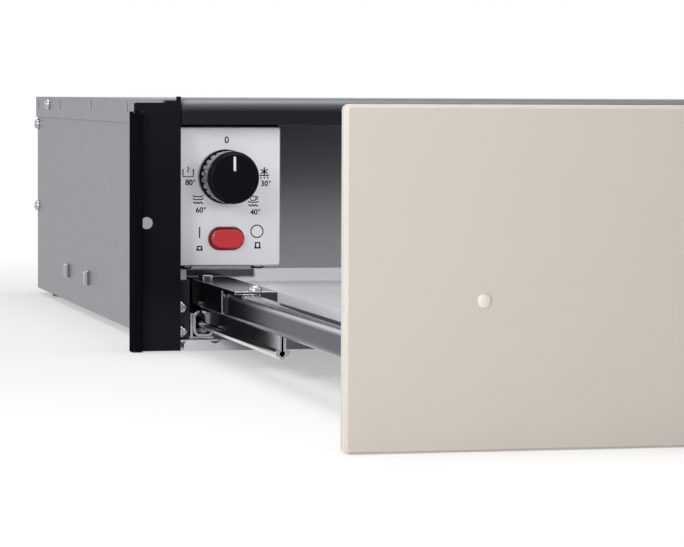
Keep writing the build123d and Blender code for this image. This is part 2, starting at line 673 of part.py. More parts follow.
def control_fascia():
    outline = rectangle(FASCIA_LEFT, FASCIA_RIGHT, FASCIA_BOTTOM, FASCIA_TOP)
    outline = fillet(outline.vertices(), FASCIA_CORNER)
    plate = along_y(outline, FASCIA_FRONT, FASCIA_BACK)
    plate = chamfer(plate.edges().group_by(Axis.Y)[0], FASCIA_BEVEL)
    plate += block(
        (FASCIA_LEFT + FASCIA_CORNER, FASCIA_RIGHT - FASCIA_CORNER),
        (FASCIA_BACK, FASCIA_BACK + FASCIA_FOLD),
        (FASCIA_BOTTOM, DUCT_FLOOR),
    )
    for x in FASCIA_SCREW_XS:
        plate -= rod_z(x, FASCIA_SCREW_Y, SHANK_RADIUS + HOLE_FIT, FASCIA_BOTTOM, DUCT_FLOOR)
    plate -= rod_y(KNOB_X, KNOB_Z, SHAFT_RADIUS + SHAFT_HOLE_GAP, FASCIA_FRONT, FASCIA_BACK)
    return plate - along_y(stadium(CLEAR), FASCIA_FRONT, FASCIA_BACK)


def fascia_screws():
    down = Rot(180, 0, 0)
    flat = screw(LOW_HEAD_HEIGHT, SHORT_SHANK)
    return [Pos(x, FASCIA_SCREW_Y, FASCIA_BOTTOM) * down * flat for x in FASCIA_SCREW_XS]


def selector_knob():
    profile = Polyline(
        (0, KNOB_FRONT),
        (KNOB_CAP_RADIUS - KNOB_EDGE, KNOB_FRONT),
        (KNOB_CAP_RADIUS, KNOB_FRONT + KNOB_EDGE),
        (KNOB_CAP_RADIUS, KNOB_FRONT + KNOB_CAP_HEIGHT),
        (KNOB_GRIP_RADIUS, KNOB_FRONT + KNOB_CAP_HEIGHT + KNOB_EDGE),
        (KNOB_GRIP_RADIUS, KNOB_BACK - KNOB_SKIRT_HEIGHT),
        (KNOB_SKIRT_RADIUS, KNOB_BACK - KNOB_SKIRT_HEIGHT + KNOB_EDGE),
        (KNOB_SKIRT_RADIUS, KNOB_BACK),
        (0, KNOB_BACK),
        close=True,
    )
    knob = revolve(make_face(profile), Axis.Y)
    ribs_front = KNOB_FRONT + KNOB_CAP_HEIGHT + KNOB_EDGE
    ribs_back = KNOB_BACK - KNOB_SKIRT_HEIGHT
    groove_middle = KNOB_GRIP_RADIUS + KNOB_RIB_RADIUS - KNOB_RIB_DEPTH
    for place in PolarLocations(groove_middle, KNOB_RIBS):
        knob -= rod_y(place.position.X, place.position.Y, KNOB_RIB_RADIUS, ribs_front, ribs_back)
    hollow_front = KNOB_FRONT + KNOB_CAP_HEIGHT
    hub = rod_y(0, 0, KNOB_HUB_RADIUS, hollow_front, KNOB_BACK)
    knob -= rod_y(0, 0, KNOB_HOLLOW, hollow_front, KNOB_BACK) - hub
    knob -= rod_y(0, 0, SHAFT_RADIUS + RUNNING_FIT, hollow_front, KNOB_BACK)
    knob -= along_y(pointer_outline(), KNOB_FRONT, KNOB_FRONT + POINTER_DEPTH)
    return Pos(KNOB_X, 0, KNOB_Z) * knob


def pointer_outline():
    middle = Pos(0, POINTER_OUTER - POINTER_LENGTH / 2)
    return middle * Rot(0, 0, 90) * SlotOverall(POINTER_LENGTH, POINTER_WIDTH)


def knob_pointer():
    bar = along_y(pointer_outline(), KNOB_FRONT - POINTER_PROUD, KNOB_FRONT + POINTER_DEPTH)
    return Pos(KNOB_X, 0, KNOB_Z) * bar


def selector_shaft():
    back = FASCIA_BACK + SELECTOR_DEPTH - SWITCH_WALL
    return rod_y(KNOB_X, KNOB_Z, SHAFT_RADIUS, KNOB_FRONT + KNOB_CAP_HEIGHT, back)


def selector_switch():
    half = SELECTOR_SIZE / 2
    body = block(
        (KNOB_X - half, KNOB_X + half),
        (FASCIA_BACK, FASCIA_BACK + SELECTOR_DEPTH),
        (KNOB_Z - half, KNOB_Z + half),
    )
    body = chamfer(body.edges().filter_by(Axis.Y), SWITCH_WALL)
    bore = SHAFT_RADIUS + RUNNING_FIT
    return body - rod_y(KNOB_X, KNOB_Z, bore, FASCIA_BACK, FASCIA_BACK + SELECTOR_DEPTH)


def power_button():
    button = along_y(stadium(), FASCIA_FRONT - BUTTON_PROUD, FASCIA_FRONT + BUTTON_STEM)
    return fillet(button.edges().group_by(Axis.Y)[0], BUTTON_ROUND)


def button_bezel():
    bezel = along_y(stadium(BEZEL_RIM), FASCIA_FRONT - BEZEL_PROUD, FASCIA_FRONT)
    bezel = fillet(bezel.edges().group_by(Axis.Y)[0], BEZEL_PROUD / 2)
    return bezel - along_y(stadium(CLEAR), FASCIA_FRONT - BEZEL_PROUD, FASCIA_FRONT)


def power_switch():
    half_x = BUTTON_LENGTH / 2 + SWITCH_WALL
    half_z = BUTTON_WIDTH / 2 + SWITCH_WALL
    body = block(
        (BUTTON_X - half_x, BUTTON_X + half_x),
        (FASCIA_BACK, FASCIA_BACK + SWITCH_DEPTH),
        (BUTTON_Z - half_z, BUTTON_Z + half_z),
    )
    bore_back = FASCIA_FRONT + BUTTON_STEM + BUTTON_TRAVEL + CLEAR
    return body - along_y(stadium(CLEAR), FASCIA_BACK, bore_back)


# ---- Fan, heater and mains inlet ------------------------------------------------------------

def motor_plate():
    plate = block(
        (MOTOR_FACE, MOTOR_FACE + SHEET),
        (FAN_Y - MOTOR_PLATE_HALF, FAN_Y + MOTOR_PLATE_HALF),
        (DUCT_INSIDE_Z, CEILING_Z),
    )
    plate -= rod_x(FAN_Y, FAN_Z, MOTOR_SHAFT_RADIUS + SHEET, MOTOR_FACE, MOTOR_FACE + SHEET)
    for side in (-1, 1):
        plate -= rod_x(
            FAN_Y + side * HEATER_LEG_SPREAD,
            FAN_Z - HEATER_RADIUS,
            HEATER_TUBE + HOLE_FIT,
            MOTOR_FACE,
            MOTOR_FACE + SHEET,
        )
    return plate


def fan_motor():
    far_end = MOTOR_FACE - MOTOR_LENGTH
    motor = rod_x(FAN_Y, FAN_Z, MOTOR_RADIUS, far_end, MOTOR_FACE)
    motor = chamfer(motor.edges().group_by(Axis.X)[0], MOTOR_BEVEL)
    return motor - rod_x(FAN_Y, FAN_Z, MOTOR_SHAFT_RADIUS + RUNNING_FIT, far_end, MOTOR_FACE)


def fan_impeller():
    disc = rod_x(0, 0, FAN_RADIUS, 0, FAN_DISC)
    hub = rod_x(0, 0, 2 * MOTOR_SHAFT_RADIUS, 0, FAN_WIDTH)
    rim = rod_x(0, 0, FAN_RADIUS, FAN_WIDTH - FAN_DISC, FAN_WIDTH)
    rim -= rod_x(0, 0, FAN_RADIUS - FAN_BLADE_LENGTH, FAN_WIDTH - FAN_DISC, FAN_WIDTH)
    wheel = disc + hub + rim
    blade_middle = FAN_RADIUS - FAN_BLADE_LENGTH / 2
    for index in range(FAN_BLADES):
        blade = Pos(FAN_WIDTH / 2, blade_middle, 0) * Box(FAN_WIDTH, FAN_BLADE_LENGTH - FAN_DISC, FAN_DISC)
        wheel += Rot(360 / FAN_BLADES * index, 0, 0) * blade
    wheel -= rod_x(0, 0, MOTOR_SHAFT_RADIUS + RUNNING_FIT, 0, FAN_WIDTH)
    return Pos(FAN_BACK, FAN_Y, FAN_Z) * wheel


def fan_shaft():
    return rod_x(FAN_Y, FAN_Z, MOTOR_SHAFT_RADIUS, MOTOR_FACE - MOTOR_LENGTH, FAN_FACE)


def heater_ring():
    middle_x = (FAN_FACE + FAN_BACK) / 2
    ring = Pos(middle_x, FAN_Y, FAN_Z) * Rot(0, 90, 0) * Torus(HEATER_RADIUS, HEATER_TUBE)
    for side in (-1, 1):
        foot = FAN_Y + side * HEATER_LEG_SPREAD
        ring += rod_x(foot, FAN_Z - HEATER_RADIUS, HEATER_TUBE, MOTOR_FACE - HEATER_LEG_END, middle_x)
    return ring


def heat_limiter():
    return rod_x(LIMITER_Y, FAN_Z, LIMITER_RADIUS, DUCT_WALL_X - LIMITER_HEIGHT, DUCT_WALL_X)


def terminal_block():
    left = GLAND_X - TERMINAL_LENGTH / 2
    top = DUCT_INSIDE_Z + TERMINAL_HEIGHT
    body = block(
        (left, left + TERMINAL_LENGTH),
        (TERMINAL_REAR - TERMINAL_DEPTH, TERMINAL_REAR),
        (DUCT_INSIDE_Z, top),
    )
    pitch = TERMINAL_LENGTH / (TERMINAL_WAYS + 1)
    middle = TERMINAL_REAR - TERMINAL_DEPTH / 2
    for way in range(TERMINAL_WAYS):
        x = left + pitch * (way + 1)
        body -= rod_z(x, middle, SHANK_RADIUS, top - TERMINAL_HEIGHT / 2, top)
    return body


def cable_gland():
    gland = rod_y(GLAND_X, GLAND_Z, GLAND_NECK, REAR_SHEET_BACK - GLAND_INSIDE, REAR_SHEET_BACK)
    gland += rod_y(GLAND_X, GLAND_Z, GLAND_RADIUS, REAR_SHEET_BACK, REAR_SHEET_BACK + GLAND_PROUD)
    inside = REAR_SHEET_BACK - GLAND_INSIDE
    return gland - rod_y(GLAND_X, GLAND_Z, GLAND_BORE, inside, REAR_SHEET_BACK + GLAND_PROUD)


# ---- Runners --------------------------------------------------------------------------------

def channel_section(bottom, top, slot_up):
    """Rolled rail section, open along its top or its foot."""
    middle = Pos(-RUNNER_X, (bottom + top) / 2)
    outer = middle * RectangleRounded(CHANNEL_WIDTH, top - bottom, CHANNEL_ROUND)
    inner = offset(outer, amount=-CHANNEL_WALL)
    slot_z = top - CHANNEL_WALL / 2 if slot_up else bottom + CHANNEL_WALL / 2
    slot = Pos(-RUNNER_X, slot_z) * Rectangle(CHANNEL_SLOT, 2 * CHANNEL_WALL)
    return outer - inner - slot


def bulb_section(z):
    """Four-lobed track on the edge of the middle rail."""
    bulb = Pos(-RUNNER_X, z) * Rectangle(2 * LOBE_RADIUS, 2 * LOBE_RADIUS)
    side_step = BULB_WIDTH / 2 - LOBE_RADIUS
    height_step = BULB_HEIGHT / 2 - LOBE_RADIUS
    for step_x, step_z in ((side_step, 0), (-side_step, 0), (0, height_step), (0, -height_step)):
        bulb += Pos(step_x - RUNNER_X, z + step_z) * Circle(LOBE_RADIUS)
    return bulb


def fixed_rail_left():
    return along_y(channel_section(FIXED_BOTTOM, FIXED_TOP, True), FIXED_FRONT, FIXED_REAR)


def drawer_rail_left():
    rail = along_y(channel_section(RAIL_BOTTOM, RAIL_TOP, False), CARRIER_BACK, RAIL_REAR)
    for x, y in ((BOLT_X, BOLT_Y), (BRACKET_SCREW_X, BRACKET_SCREW_Y)):
        rail -= rod_z(-x, y, SHANK_RADIUS, BRACKET_TOP - RAIL_SHANK, RAIL_TOP)
    return OUT * rail


def middle_rail_left():
    section = bulb_section(LOWER_BULB_Z) + bulb_section(UPPER_BULB_Z)
    section += rectangle(-RUNNER_X - WEB_WIDTH / 2, WEB_WIDTH / 2 - RUNNER_X, LOWER_BULB_Z, UPPER_BULB_Z)
    section -= rectangle(-RUNNER_X - WEB_HOLLOW / 2, WEB_HOLLOW / 2 - RUNNER_X, LOWER_BULB_Z, UPPER_BULB_Z)
    for z in (LOWER_BULB_Z, UPPER_BULB_Z):
        section -= Pos(-RUNNER_X, z) * Circle(BULB_HOLLOW_RADIUS)
    return HALF_OUT * along_y(section, MIDDLE_FRONT, FIXED_REAR)


def ball_cages_left():
    """Nylon carriers that keep the balls apart, one in each track."""
    cages = []
    tracks = (
        (FIXED_BOTTOM, FIXED_TOP, LOWER_CAGE_FRONT, 1),
        (RAIL_BOTTOM, RAIL_TOP, UPPER_CAGE_FRONT, -1),
    )
    width = CHANNEL_WIDTH - 2 * CHANNEL_WALL - 2 * CLEAR
    for bottom, top, front, web_side in tracks:
        z = (bottom + top) / 2
        height = top - bottom - 2 * CHANNEL_WALL - 2 * CLEAR
        section = Pos(-RUNNER_X, z) * RectangleRounded(width, height, CHANNEL_ROUND - CHANNEL_WALL - CLEAR)
        section -= Pos(-RUNNER_X, z) * Rectangle(BULB_WIDTH, BULB_HEIGHT)
        section -= Pos(-RUNNER_X, z + web_side * height / 2) * Rectangle(WEB_WIDTH + CLEAR, height)
        cages.append(HALF_OUT * along_y(section, front, front + CAGE_LENGTH))
    return cages


def rail_support_left():
    """Long bracket under the fixed rail, with two tongues that grip the side wall from outside."""
    support = block((-WALL_INNER, -RAIL_INNER), (TIE_BACK, FIXED_REAR), (FLOOR_SHEET_TOP, FIXED_BOTTOM))
    support += block(
        (-WALL_INNER, SUPPORT_SHEET - WALL_INNER),
        (TIE_BACK, FIXED_REAR),
        (FIXED_BOTTOM, FIXED_BOTTOM + SUPPORT_OUTER_RISE),
    )
    support += block(
        (-RAIL_OUTER - SUPPORT_SHEET, -RAIL_OUTER),
        (TIE_BACK, FIXED_REAR),
        (FIXED_BOTTOM, FIXED_BOTTOM + SUPPORT_INNER_RISE),
    )
    for y in HOOK_YS:
        hook = block(
            (-WALL_OUTER - HOOK_PROUD, -WALL_INNER),
            (y - HOOK_WIDTH / 2, y + HOOK_WIDTH / 2),
            (HOOK_BOTTOM, HOOK_TOP),
        )
        support += fillet(hook.edges().group_by(Axis.X)[0], HOOK_ROUND)
    return support


def rail_tie_left():
    """Upright plate that closes the front of the support."""
    plate = block((-WALL_INNER, -TIE_INNER), (TIE_FRONT, TIE_BACK), (FLOOR_SHEET_TOP, TIE_TOP))
    for z in TIE_SCREW_ZS:
        plate -= rod_y(-TIE_SCREW_X, z, SHANK_RADIUS, TIE_FRONT, TIE_BACK)
    return plate


# ---- Casing fasteners -----------------------------------------------------------------------

def left_casing_screws():
    screws = [face_left(-WALL_OUTER, REAR_SCREW_Y, z) * screw() for z in REAR_SCREW_ZS]
    cover_place = face_left(-CASING_HALF, COVER_SCREW_Y, COVER_SCREW_Z)
    screws.append(cover_place * screw(shank_length=SHORT_SHANK))
    for z in TIE_SCREW_ZS:
        screws.append(face_front(-TIE_SCREW_X, TIE_FRONT, z) * screw())
    return screws


# ---- Push-to-open latch ---------------------------------------------------------------------

def latch_housing():
    body = block((-LATCH_HALF, LATCH_HALF), (LATCH_FRONT, LATCH_REAR), (FLOOR_SHEET_TOP, LATCH_TOP))
    return body - rod_y(0, PLUNGER_Z, PLUNGER_RADIUS + RUNNING_FIT, LATCH_FRONT, LATCH_REAR - SHEET)


def latch_plunger():
    tip = STRIKER_BACK + CLEAR
    plunger = rod_y(0, PLUNGER_Z, PLUNGER_RADIUS, tip, LATCH_REAR - SHEET - PLUNGER_TRAVEL - CLEAR)
    return chamfer(plunger.edges().group_by(Axis.Y)[0], BUTTON_ROUND)


def latch_striker():
    plate = block(
        (-STRIKER_HALF, STRIKER_HALF),
        (STRIKER_BACK - STRIKER_SHEET, STRIKER_BACK),
        (STRIKER_BOTTOM, CROSS_BAR_BOTTOM),
    )
    return OUT * plate


# ---- Drawer ---------------------------------------------------------------------------------

def front_glass():
    outline = rectangle(-PANEL_HALF, PANEL_HALF, PANEL_BOTTOM, PANEL_TOP)
    outline = fillet(outline.vertices(), GLASS_CORNER)
    glass = along_y(outline, -PANEL_AHEAD, PANEL_BACK)
    return OUT * chamfer(glass.edges().group_by(Axis.Y)[0], GLASS_BEVEL)


def touch_dot():
    x = DOT_FROM_EDGE - PANEL_HALF
    dot = rod_y(x, DOT_HEIGHT_UP, DOT_RADIUS, -PANEL_AHEAD - DOT_HEIGHT, -PANEL_AHEAD)
    return OUT * fillet(dot.edges().group_by(Axis.Y)[0], DOT_ROUND)


def front_carrier():
    """Shallow steel pan that is bonded behind the glass, with room for the knob."""
    wall = CARRIER_WALL
    heights = (CARRIER_BOTTOM, CARRIER_TOP)
    pan = block((-CARRIER_HALF, CARRIER_HALF), (PANEL_BACK, CARRIER_BACK), heights)
    pan = fillet(pan.edges().filter_by(Axis.Y), CARRIER_ROUND)
    pan -= block(
        (wall - CARRIER_HALF, CARRIER_HALF - wall),
        (PANEL_BACK, CARRIER_BACK - wall),
        (CARRIER_BOTTOM + wall, CARRIER_TOP - wall),
    )
    for side in (-1, 1):
        pan -= rod_y(side * ANGLE_SCREW_X, ANGLE_SCREW_Z, SHANK_RADIUS, CARRIER_BACK - wall, CARRIER_BACK)
    pocket = KNOB_SKIRT_RADIUS + KNOB_POCKET
    window = block(
        (KNOB_X - pocket, KNOB_X + pocket),
        (CARRIER_BACK - wall, CARRIER_BACK),
        (KNOB_Z - pocket, KNOB_Z + pocket),
    )
    return OUT * (pan - fillet(window.edges().filter_by(Axis.Y), CARRIER_ROUND))


def front_bumpers():
    height = CLOSED_GAP - BUMPER_GAP
    bumpers = []
    for x in (-BUMPER_X, BUMPER_X):
        for z in BUMPER_ZS:
            bumper = rod_y(x, z, BUMPER_RADIUS, CARRIER_BACK, CARRIER_BACK + height)
            bumpers.append(OUT * fillet(bumper.edges().group_by(Axis.Y)[-1], height / 2))
    return bumpers


def tray():
    inner = TRAY_HALF - SHEET
    depth = (CARRIER_BACK, TRAY_REAR)
    pan = block((-inner, inner), depth, (TRAY_FLOOR - SHEET, TRAY_FLOOR))
    for side in (-1, 1):
        pan += block(sorted((side * inner, side * TRAY_HALF)), depth, (TRAY_SKIRT, TRAY_RIM))
    for front, back in ((CARRIER_BACK, CARRIER_BACK + SHEET), (TRAY_REAR - SHEET, TRAY_REAR)):
        pan += block((-TRAY_HALF, TRAY_HALF), (front, back), (TRAY_SKIRT, TRAY_END_RIM))
    return OUT * pan


def rail_bracket_left():
    """Angle that hangs the tray on the drawer rail and hooks over its rear corner."""
    outer = -BRACKET_OUTER
    bracket = block((outer, -TRAY_HALF), (BRACKET_FRONT, BRACKET_REAR), (RAIL_TOP, BRACKET_TOP))
    bracket += block(
        (outer, -RAIL_OUTER),
        (BRACKET_REAR - BRACKET_SIDE_LENGTH, BRACKET_REAR),
        (RAIL_TOP - BRACKET_SIDE_REACH, RAIL_TOP),
    )
    bracket += block(
        (-RAIL_INNER, -TRAY_HALF),
        (BRACKET_FRONT, BRACKET_FRONT + BRACKET_SHEET),
        (RAIL_TOP - BRACKET_FRONT_REACH, RAIL_TOP),
    )
    bracket += block(
        (outer, BRACKET_REAR_LAP - TRAY_HALF),
        (BRACKET_REAR - BRACKET_SHEET, BRACKET_REAR),
        (BRACKET_TOP, TRAY_END_RIM),
    )
    for x, y in ((BOLT_X, BOLT_Y), (BRACKET_SCREW_X, BRACKET_SCREW_Y)):
        bracket -= rod_z(-x, y, SHANK_RADIUS + HOLE_FIT, RAIL_TOP, BRACKET_TOP)
    return OUT * bracket


def left_drawer_screws():
    bolt = Pos(-BOLT_X, BOLT_Y, BRACKET_TOP) * hex_bolt()
    round_head = Pos(-BRACKET_SCREW_X, BRACKET_SCREW_Y, BRACKET_TOP) * screw(shank_length=RAIL_SHANK)
    angle_place = face_back(-ANGLE_SCREW_X, CARRIER_BACK + BRACKET_SHEET, ANGLE_SCREW_Z)
    return [OUT * bolt, OUT * round_head, OUT * angle_place * screw(shank_length=SHORT_SHANK)]


def panel_angle_left():
    """Angle that screws the front carrier to the end of the drawer rail."""
    heights = (TRAY_SKIRT, RAIL_TOP)
    back = CARRIER_BACK + BRACKET_SHEET
    angle = block((-RAIL_INNER, BRACKET_SHEET - RAIL_INNER), (back, CARRIER_BACK + ANGLE_LENGTH), heights)
    angle += block((-RAIL_INNER, -TRAY_HALF), (CARRIER_BACK, back), heights)
    return OUT * (angle - rod_y(-ANGLE_SCREW_X, ANGLE_SCREW_Z, SHANK_RADIUS, CARRIER_BACK, back))


def tray_cross_bars():
    bars = []
    for y in CROSS_BAR_YS:
        bars.append(
            OUT * block(
                (-RAIL_INNER, RAIL_INNER),
                (y, y + CROSS_BAR_WIDTH),
                (CROSS_BAR_BOTTOM, TRAY_SKIRT),
            )
        )
    return bars


# ---- Everything, one file per piece ---------------------------------------------------------

MIRRORED = {
    "side_wall": side_wall_left,
    "frame_plate": frame_plate_left,
    "edge_strip": edge_strip_left,
    "fixed_rail": fixed_rail_left,
    "middle_rail": middle_rail_left,
    "drawer_rail": drawer_rail_left,
    "rail_support": rail_support_left,
    "rail_tie": rail_tie_left,
    "rail_bracket": rail_bracket_left,
    "panel_angle": panel_angle_left,
}
SINGLE = (
    bottom_panel, rear_panel, top_cover, top_front_bar, bottom_front_rail, cavity_ceiling,
    insulation_mat, cavity_rear_wall, service_duct, control_fascia, selector_knob, knob_pointer,
    selector_shaft, selector_switch, power_button, button_bezel, power_switch, motor_plate,
    fan_motor, fan_impeller, fan_shaft, heater_ring, heat_limiter, terminal_block, cable_gland,
    latch_housing, latch_plunger, latch_striker, front_glass, touch_dot, front_carrier, tray,
)
GROUPS = (rear_feet, fascia_screws, front_bumpers, tray_cross_bars)


def group(solids):
    return Compound(children=[solid.solid() for solid in solids])


nodes = {}
for name, make in MIRRORED.items():
    nodes[name + "_left"] = make()
    nodes[name + "_right"] = other_side(make())
nodes["ball_cages_left"] = group(ball_cages_left())
nodes["ball_cages_right"] = group([other_side(cage) for cage in ball_cages_left()])
for make in SINGLE:
    nodes[make.__name__] = make()
for make in GROUPS:
    nodes[make.__name__] = group(make())
casing_screws = left_casing_screws()
nodes["casing_screws"] = group(casing_screws + [other_side(item) for item in casing_screws])
drawer_screws = left_drawer_screws()
nodes["drawer_screws"] = group(drawer_screws + [other_side(item) for item in drawer_screws])

os.makedirs("parts", exist_ok=True)
for name, shape in nodes.items():
    export_step(shape, f"parts/{name}.step")
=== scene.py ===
# %% [markdown]
# # A built-in warming drawer, dressed for the camera
# The drawer was drawn as a solid model first, with its true sizes and its moving parts. This
# script takes that model as a fixed frame and gives every piece the finish that the real one has.
# Nothing is moved: the pieces come in where they belong, in metres, with Z up. The drawer stands
# fully open, so its glass front is half a metre ahead of the black frame.

# %% Load the frame
import json
import math

import bmesh
import bpy
from mathutils import Matrix, Vector


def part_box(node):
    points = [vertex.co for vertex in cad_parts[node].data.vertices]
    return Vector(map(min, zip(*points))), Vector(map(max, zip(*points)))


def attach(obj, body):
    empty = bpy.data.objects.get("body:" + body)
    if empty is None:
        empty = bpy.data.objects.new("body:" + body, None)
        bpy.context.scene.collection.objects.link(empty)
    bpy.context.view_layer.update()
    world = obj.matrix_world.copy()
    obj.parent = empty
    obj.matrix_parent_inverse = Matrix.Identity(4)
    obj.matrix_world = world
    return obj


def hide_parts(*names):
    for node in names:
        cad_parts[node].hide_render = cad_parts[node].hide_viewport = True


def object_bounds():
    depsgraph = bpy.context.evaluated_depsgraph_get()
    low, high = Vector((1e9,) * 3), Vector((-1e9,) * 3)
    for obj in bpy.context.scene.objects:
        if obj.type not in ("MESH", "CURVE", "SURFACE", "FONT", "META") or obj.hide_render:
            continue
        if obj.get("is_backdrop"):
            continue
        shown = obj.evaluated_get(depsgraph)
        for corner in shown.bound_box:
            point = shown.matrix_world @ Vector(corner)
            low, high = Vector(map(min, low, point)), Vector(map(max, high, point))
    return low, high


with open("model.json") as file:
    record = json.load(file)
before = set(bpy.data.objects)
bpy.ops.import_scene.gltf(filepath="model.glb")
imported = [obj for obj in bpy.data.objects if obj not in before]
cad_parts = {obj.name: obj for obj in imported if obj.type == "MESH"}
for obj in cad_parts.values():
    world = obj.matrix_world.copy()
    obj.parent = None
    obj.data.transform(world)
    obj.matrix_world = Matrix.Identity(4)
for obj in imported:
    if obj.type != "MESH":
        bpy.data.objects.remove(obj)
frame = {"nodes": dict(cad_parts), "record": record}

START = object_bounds()
MM = 0.001
parts = frame["nodes"]
scene = bpy.context.scene
print("pieces in the frame:", len(parts))
print("overall size in mm:", [round((high - low) / MM) for low, high in zip(*START)])

# %% [markdown]
# ## The camera
# The photograph was taken from the left of the drawer, at the height of its upper edge, with a
# long lens. Such a picture can be rebuilt from a few measured corners: a place, a direction and a
# focal length were searched for that put them where the photograph shows them, and they are given
# below. A lens shift would keep all uprights exactly upright, but it would push the object out of
# every other view, so the camera is turned a little instead.

# %% Camera
PHOTO_WIDTH = 684
FOCAL_PIXELS = 3179.6
SENSOR = 36.0
CAMERA_PLACE = (-0.59389, -1.76937, 0.14774)
CAMERA_TURN = (86.703, -0.246, -13.273)
CAMERA_REACH = 50

lens_data = bpy.data.cameras.new("Camera")
lens_data.sensor_width = SENSOR
lens_data.lens = FOCAL_PIXELS / PHOTO_WIDTH * SENSOR
lens_data.clip_end = CAMERA_REACH
camera = bpy.data.objects.new("Camera", lens_data)
camera.location = CAMERA_PLACE
camera.rotation_euler = [math.radians(angle) for angle in CAMERA_TURN]
scene.collection.objects.link(camera)
scene.camera = camera
scene.view_settings.view_transform = "Standard"
print("focal length in mm:", round(lens_data.lens, 1))

# %% [markdown]
# ## Colours
# A colour picked from a picture is an sRGB value, but a shader computes with linear light. One
# function does the change, so every colour below can be written as it is seen.

# %% Colour from a hex value
def srgb(code):
    """Linear colour for a shader, from an sRGB hex value such as #c8bfb6."""
    parts_255 = [int(code[start:start + 2], 16) / 255 for start in (1, 3, 5)]
    linear = [v / 12.92 if v <= 0.04045 else ((v + 0.055) / 1.055) ** 2.4 for v in parts_255]
    return (*linear, 1.0)


# %% [markdown]
# ## The studio
# The drawer was photographed as a packshot: white all round, and soft light. The world gives that
# white to the camera and to mirrors, and a plain pale light to everything else. Three large lamps
# give soft light, and a smaller one near the left of the front gives the slow fall of light over
# the glass. A white floor takes the soft shadow.
#
# All nodes are added by one helper. It finds an input by its name, or by its number where several
# share a name or the number is shorter. A Mix node blends by input 0: colours at 6 and 7 come out
# at 2, vectors at 4 and 5 come out at 1. A Map Range node takes a value at 0, its range at 1 and 2
# and the new range at 3 and 4. Each range runs from 0 to 1 where it is left out.

# %% A helper that adds one node
def add(tree, kind, settings=None, inputs=None):
    """Adds a node, sets its properties, and fills or links its inputs."""
    node = tree.nodes.new(kind)
    for name, value in (settings or {}).items():
        setattr(node, name, value)
    for name, value in (inputs or {}).items():
        if isinstance(value, bpy.types.NodeSocket):
            tree.links.new(value, node.inputs[name])
        else:
            node.inputs[name].default_value = value
    return node


# %% World
WORLD_LEVEL = 0.25

world = bpy.data.worlds.new("White studio")
world.use_nodes = True
scene.world = world
tree = world.node_tree
tree.nodes.clear()
path = add(tree, "ShaderNodeLightPath").outputs
direct = add(tree, "ShaderNodeMath", {"operation": "MAXIMUM"}, {
    0: path["Is Camera Ray"], 1: path["Is Glossy Ray"],
})
seen = add(tree, "ShaderNodeMath", {"operation": "MAXIMUM"}, {
    0: direct.outputs[0], 1: path["Is Transmission Ray"],
})
plain = add(tree, "ShaderNodeBackground", None, {"Color": srgb("#ffffff"), "Strength": WORLD_LEVEL})
white = add(tree, "ShaderNodeBackground", None, {"Color": srgb("#ffffff"), "Strength": 1.0})
mixed = add(tree, "ShaderNodeMixShader", None, {
    0: seen.outputs[0], 1: plain.outputs[0], 2: white.outputs[0],
})
add(tree, "ShaderNodeOutputWorld", None, {"Surface": mixed.outputs[0]})
print("world level:", WORLD_LEVEL)


# %% Lamps
def softbox(name, place, aim, width, height, power):
    """A rectangular lamp that looks at a point."""
    data = bpy.data.lights.new(name, "AREA")
    data.shape = "RECTANGLE"
    data.size, data.size_y = width, height
    data.energy = power
    lamp = bpy.data.objects.new(name, data)
    lamp.location = place
    lamp.rotation_euler = (Vector(aim) - Vector(place)).to_track_quat("-Z", "Y").to_euler()
    scene.collection.objects.link(lamp)


softbox("Key", (-1.0, -1.08, 0.5), (-0.25, -0.4, 0.12), 0.35, 0.35, 8.3)
softbox("Left", (-2.6, 0.3, 0.8), (-0.28, 0.2, 0.08), 1.0, 1.0, 4.5)
softbox("Top", (-0.2, 0.1, 3.6), (-0.1, 0.0, 0.1), 2.6, 2.6, 62)
softbox("Front", (0.3, -4.2, 0.72), (0.0, 0.2, 0.08), 2.6, 0.5, 8)

# %% [markdown]
# ## The floor
# The floor is white paper that takes the soft shadow. For the camera a part of it is plain white
# even near the drawer, which keeps the shadow faint. Further out it is all plain white, so that
# the picture has no horizon. Mirrors see it white all over. Its own light on the drawer stays that
# of paper.

# %% Floor
FLOOR_HALF = 12.0
PAPER_END, WHITE_START = 0.5, 1.1
NEAR_SHARE = 0.4
FLOOR_GAP = 0.0001

floor_mesh = bpy.data.meshes.new("Floor")
corners = [(x * FLOOR_HALF, y * FLOOR_HALF, 0) for x, y in ((-1, -1), (1, -1), (1, 1), (-1, 1))]
floor_mesh.from_pydata(corners, [], [(0, 1, 2, 3)])
floor = bpy.data.objects.new("Floor", floor_mesh)
floor.location.z = START[0].z - FLOOR_GAP
scene.collection.objects.link(floor)
paper = bpy.data.materials.new("White paper")
paper.use_nodes = True
tree = paper.node_tree
tree.nodes.clear()
path = add(tree, "ShaderNodeLightPath").outputs
mirrored = add(tree, "ShaderNodeMath", {"operation": "MAXIMUM"}, {
    0: path["Is Glossy Ray"], 1: path["Is Transmission Ray"],
})
ground = add(tree, "ShaderNodeTexCoord").outputs["Object"]
away = add(tree, "ShaderNodeVectorMath", {"operation": "LENGTH"}, {0: ground})
far = add(tree, "ShaderNodeMapRange", {"interpolation_type": "SMOOTHSTEP"}, {
    0: away.outputs["Value"], 1: PAPER_END, 2: WHITE_START, 3: NEAR_SHARE, 4: 1.0,
})
direct = add(tree, "ShaderNodeMath", {"operation": "MULTIPLY"}, {
    0: far.outputs[0], 1: path["Is Camera Ray"],
})
share = add(tree, "ShaderNodeMath", {"operation": "MAXIMUM"}, {
    0: direct.outputs[0], 1: mirrored.outputs[0],
})
sheet = add(tree, "ShaderNodeBsdfDiffuse", None, {"Color": srgb("#ffffff")})
glow = add(tree, "ShaderNodeEmission", None, {"Color": srgb("#ffffff"), "Strength": 1.0})
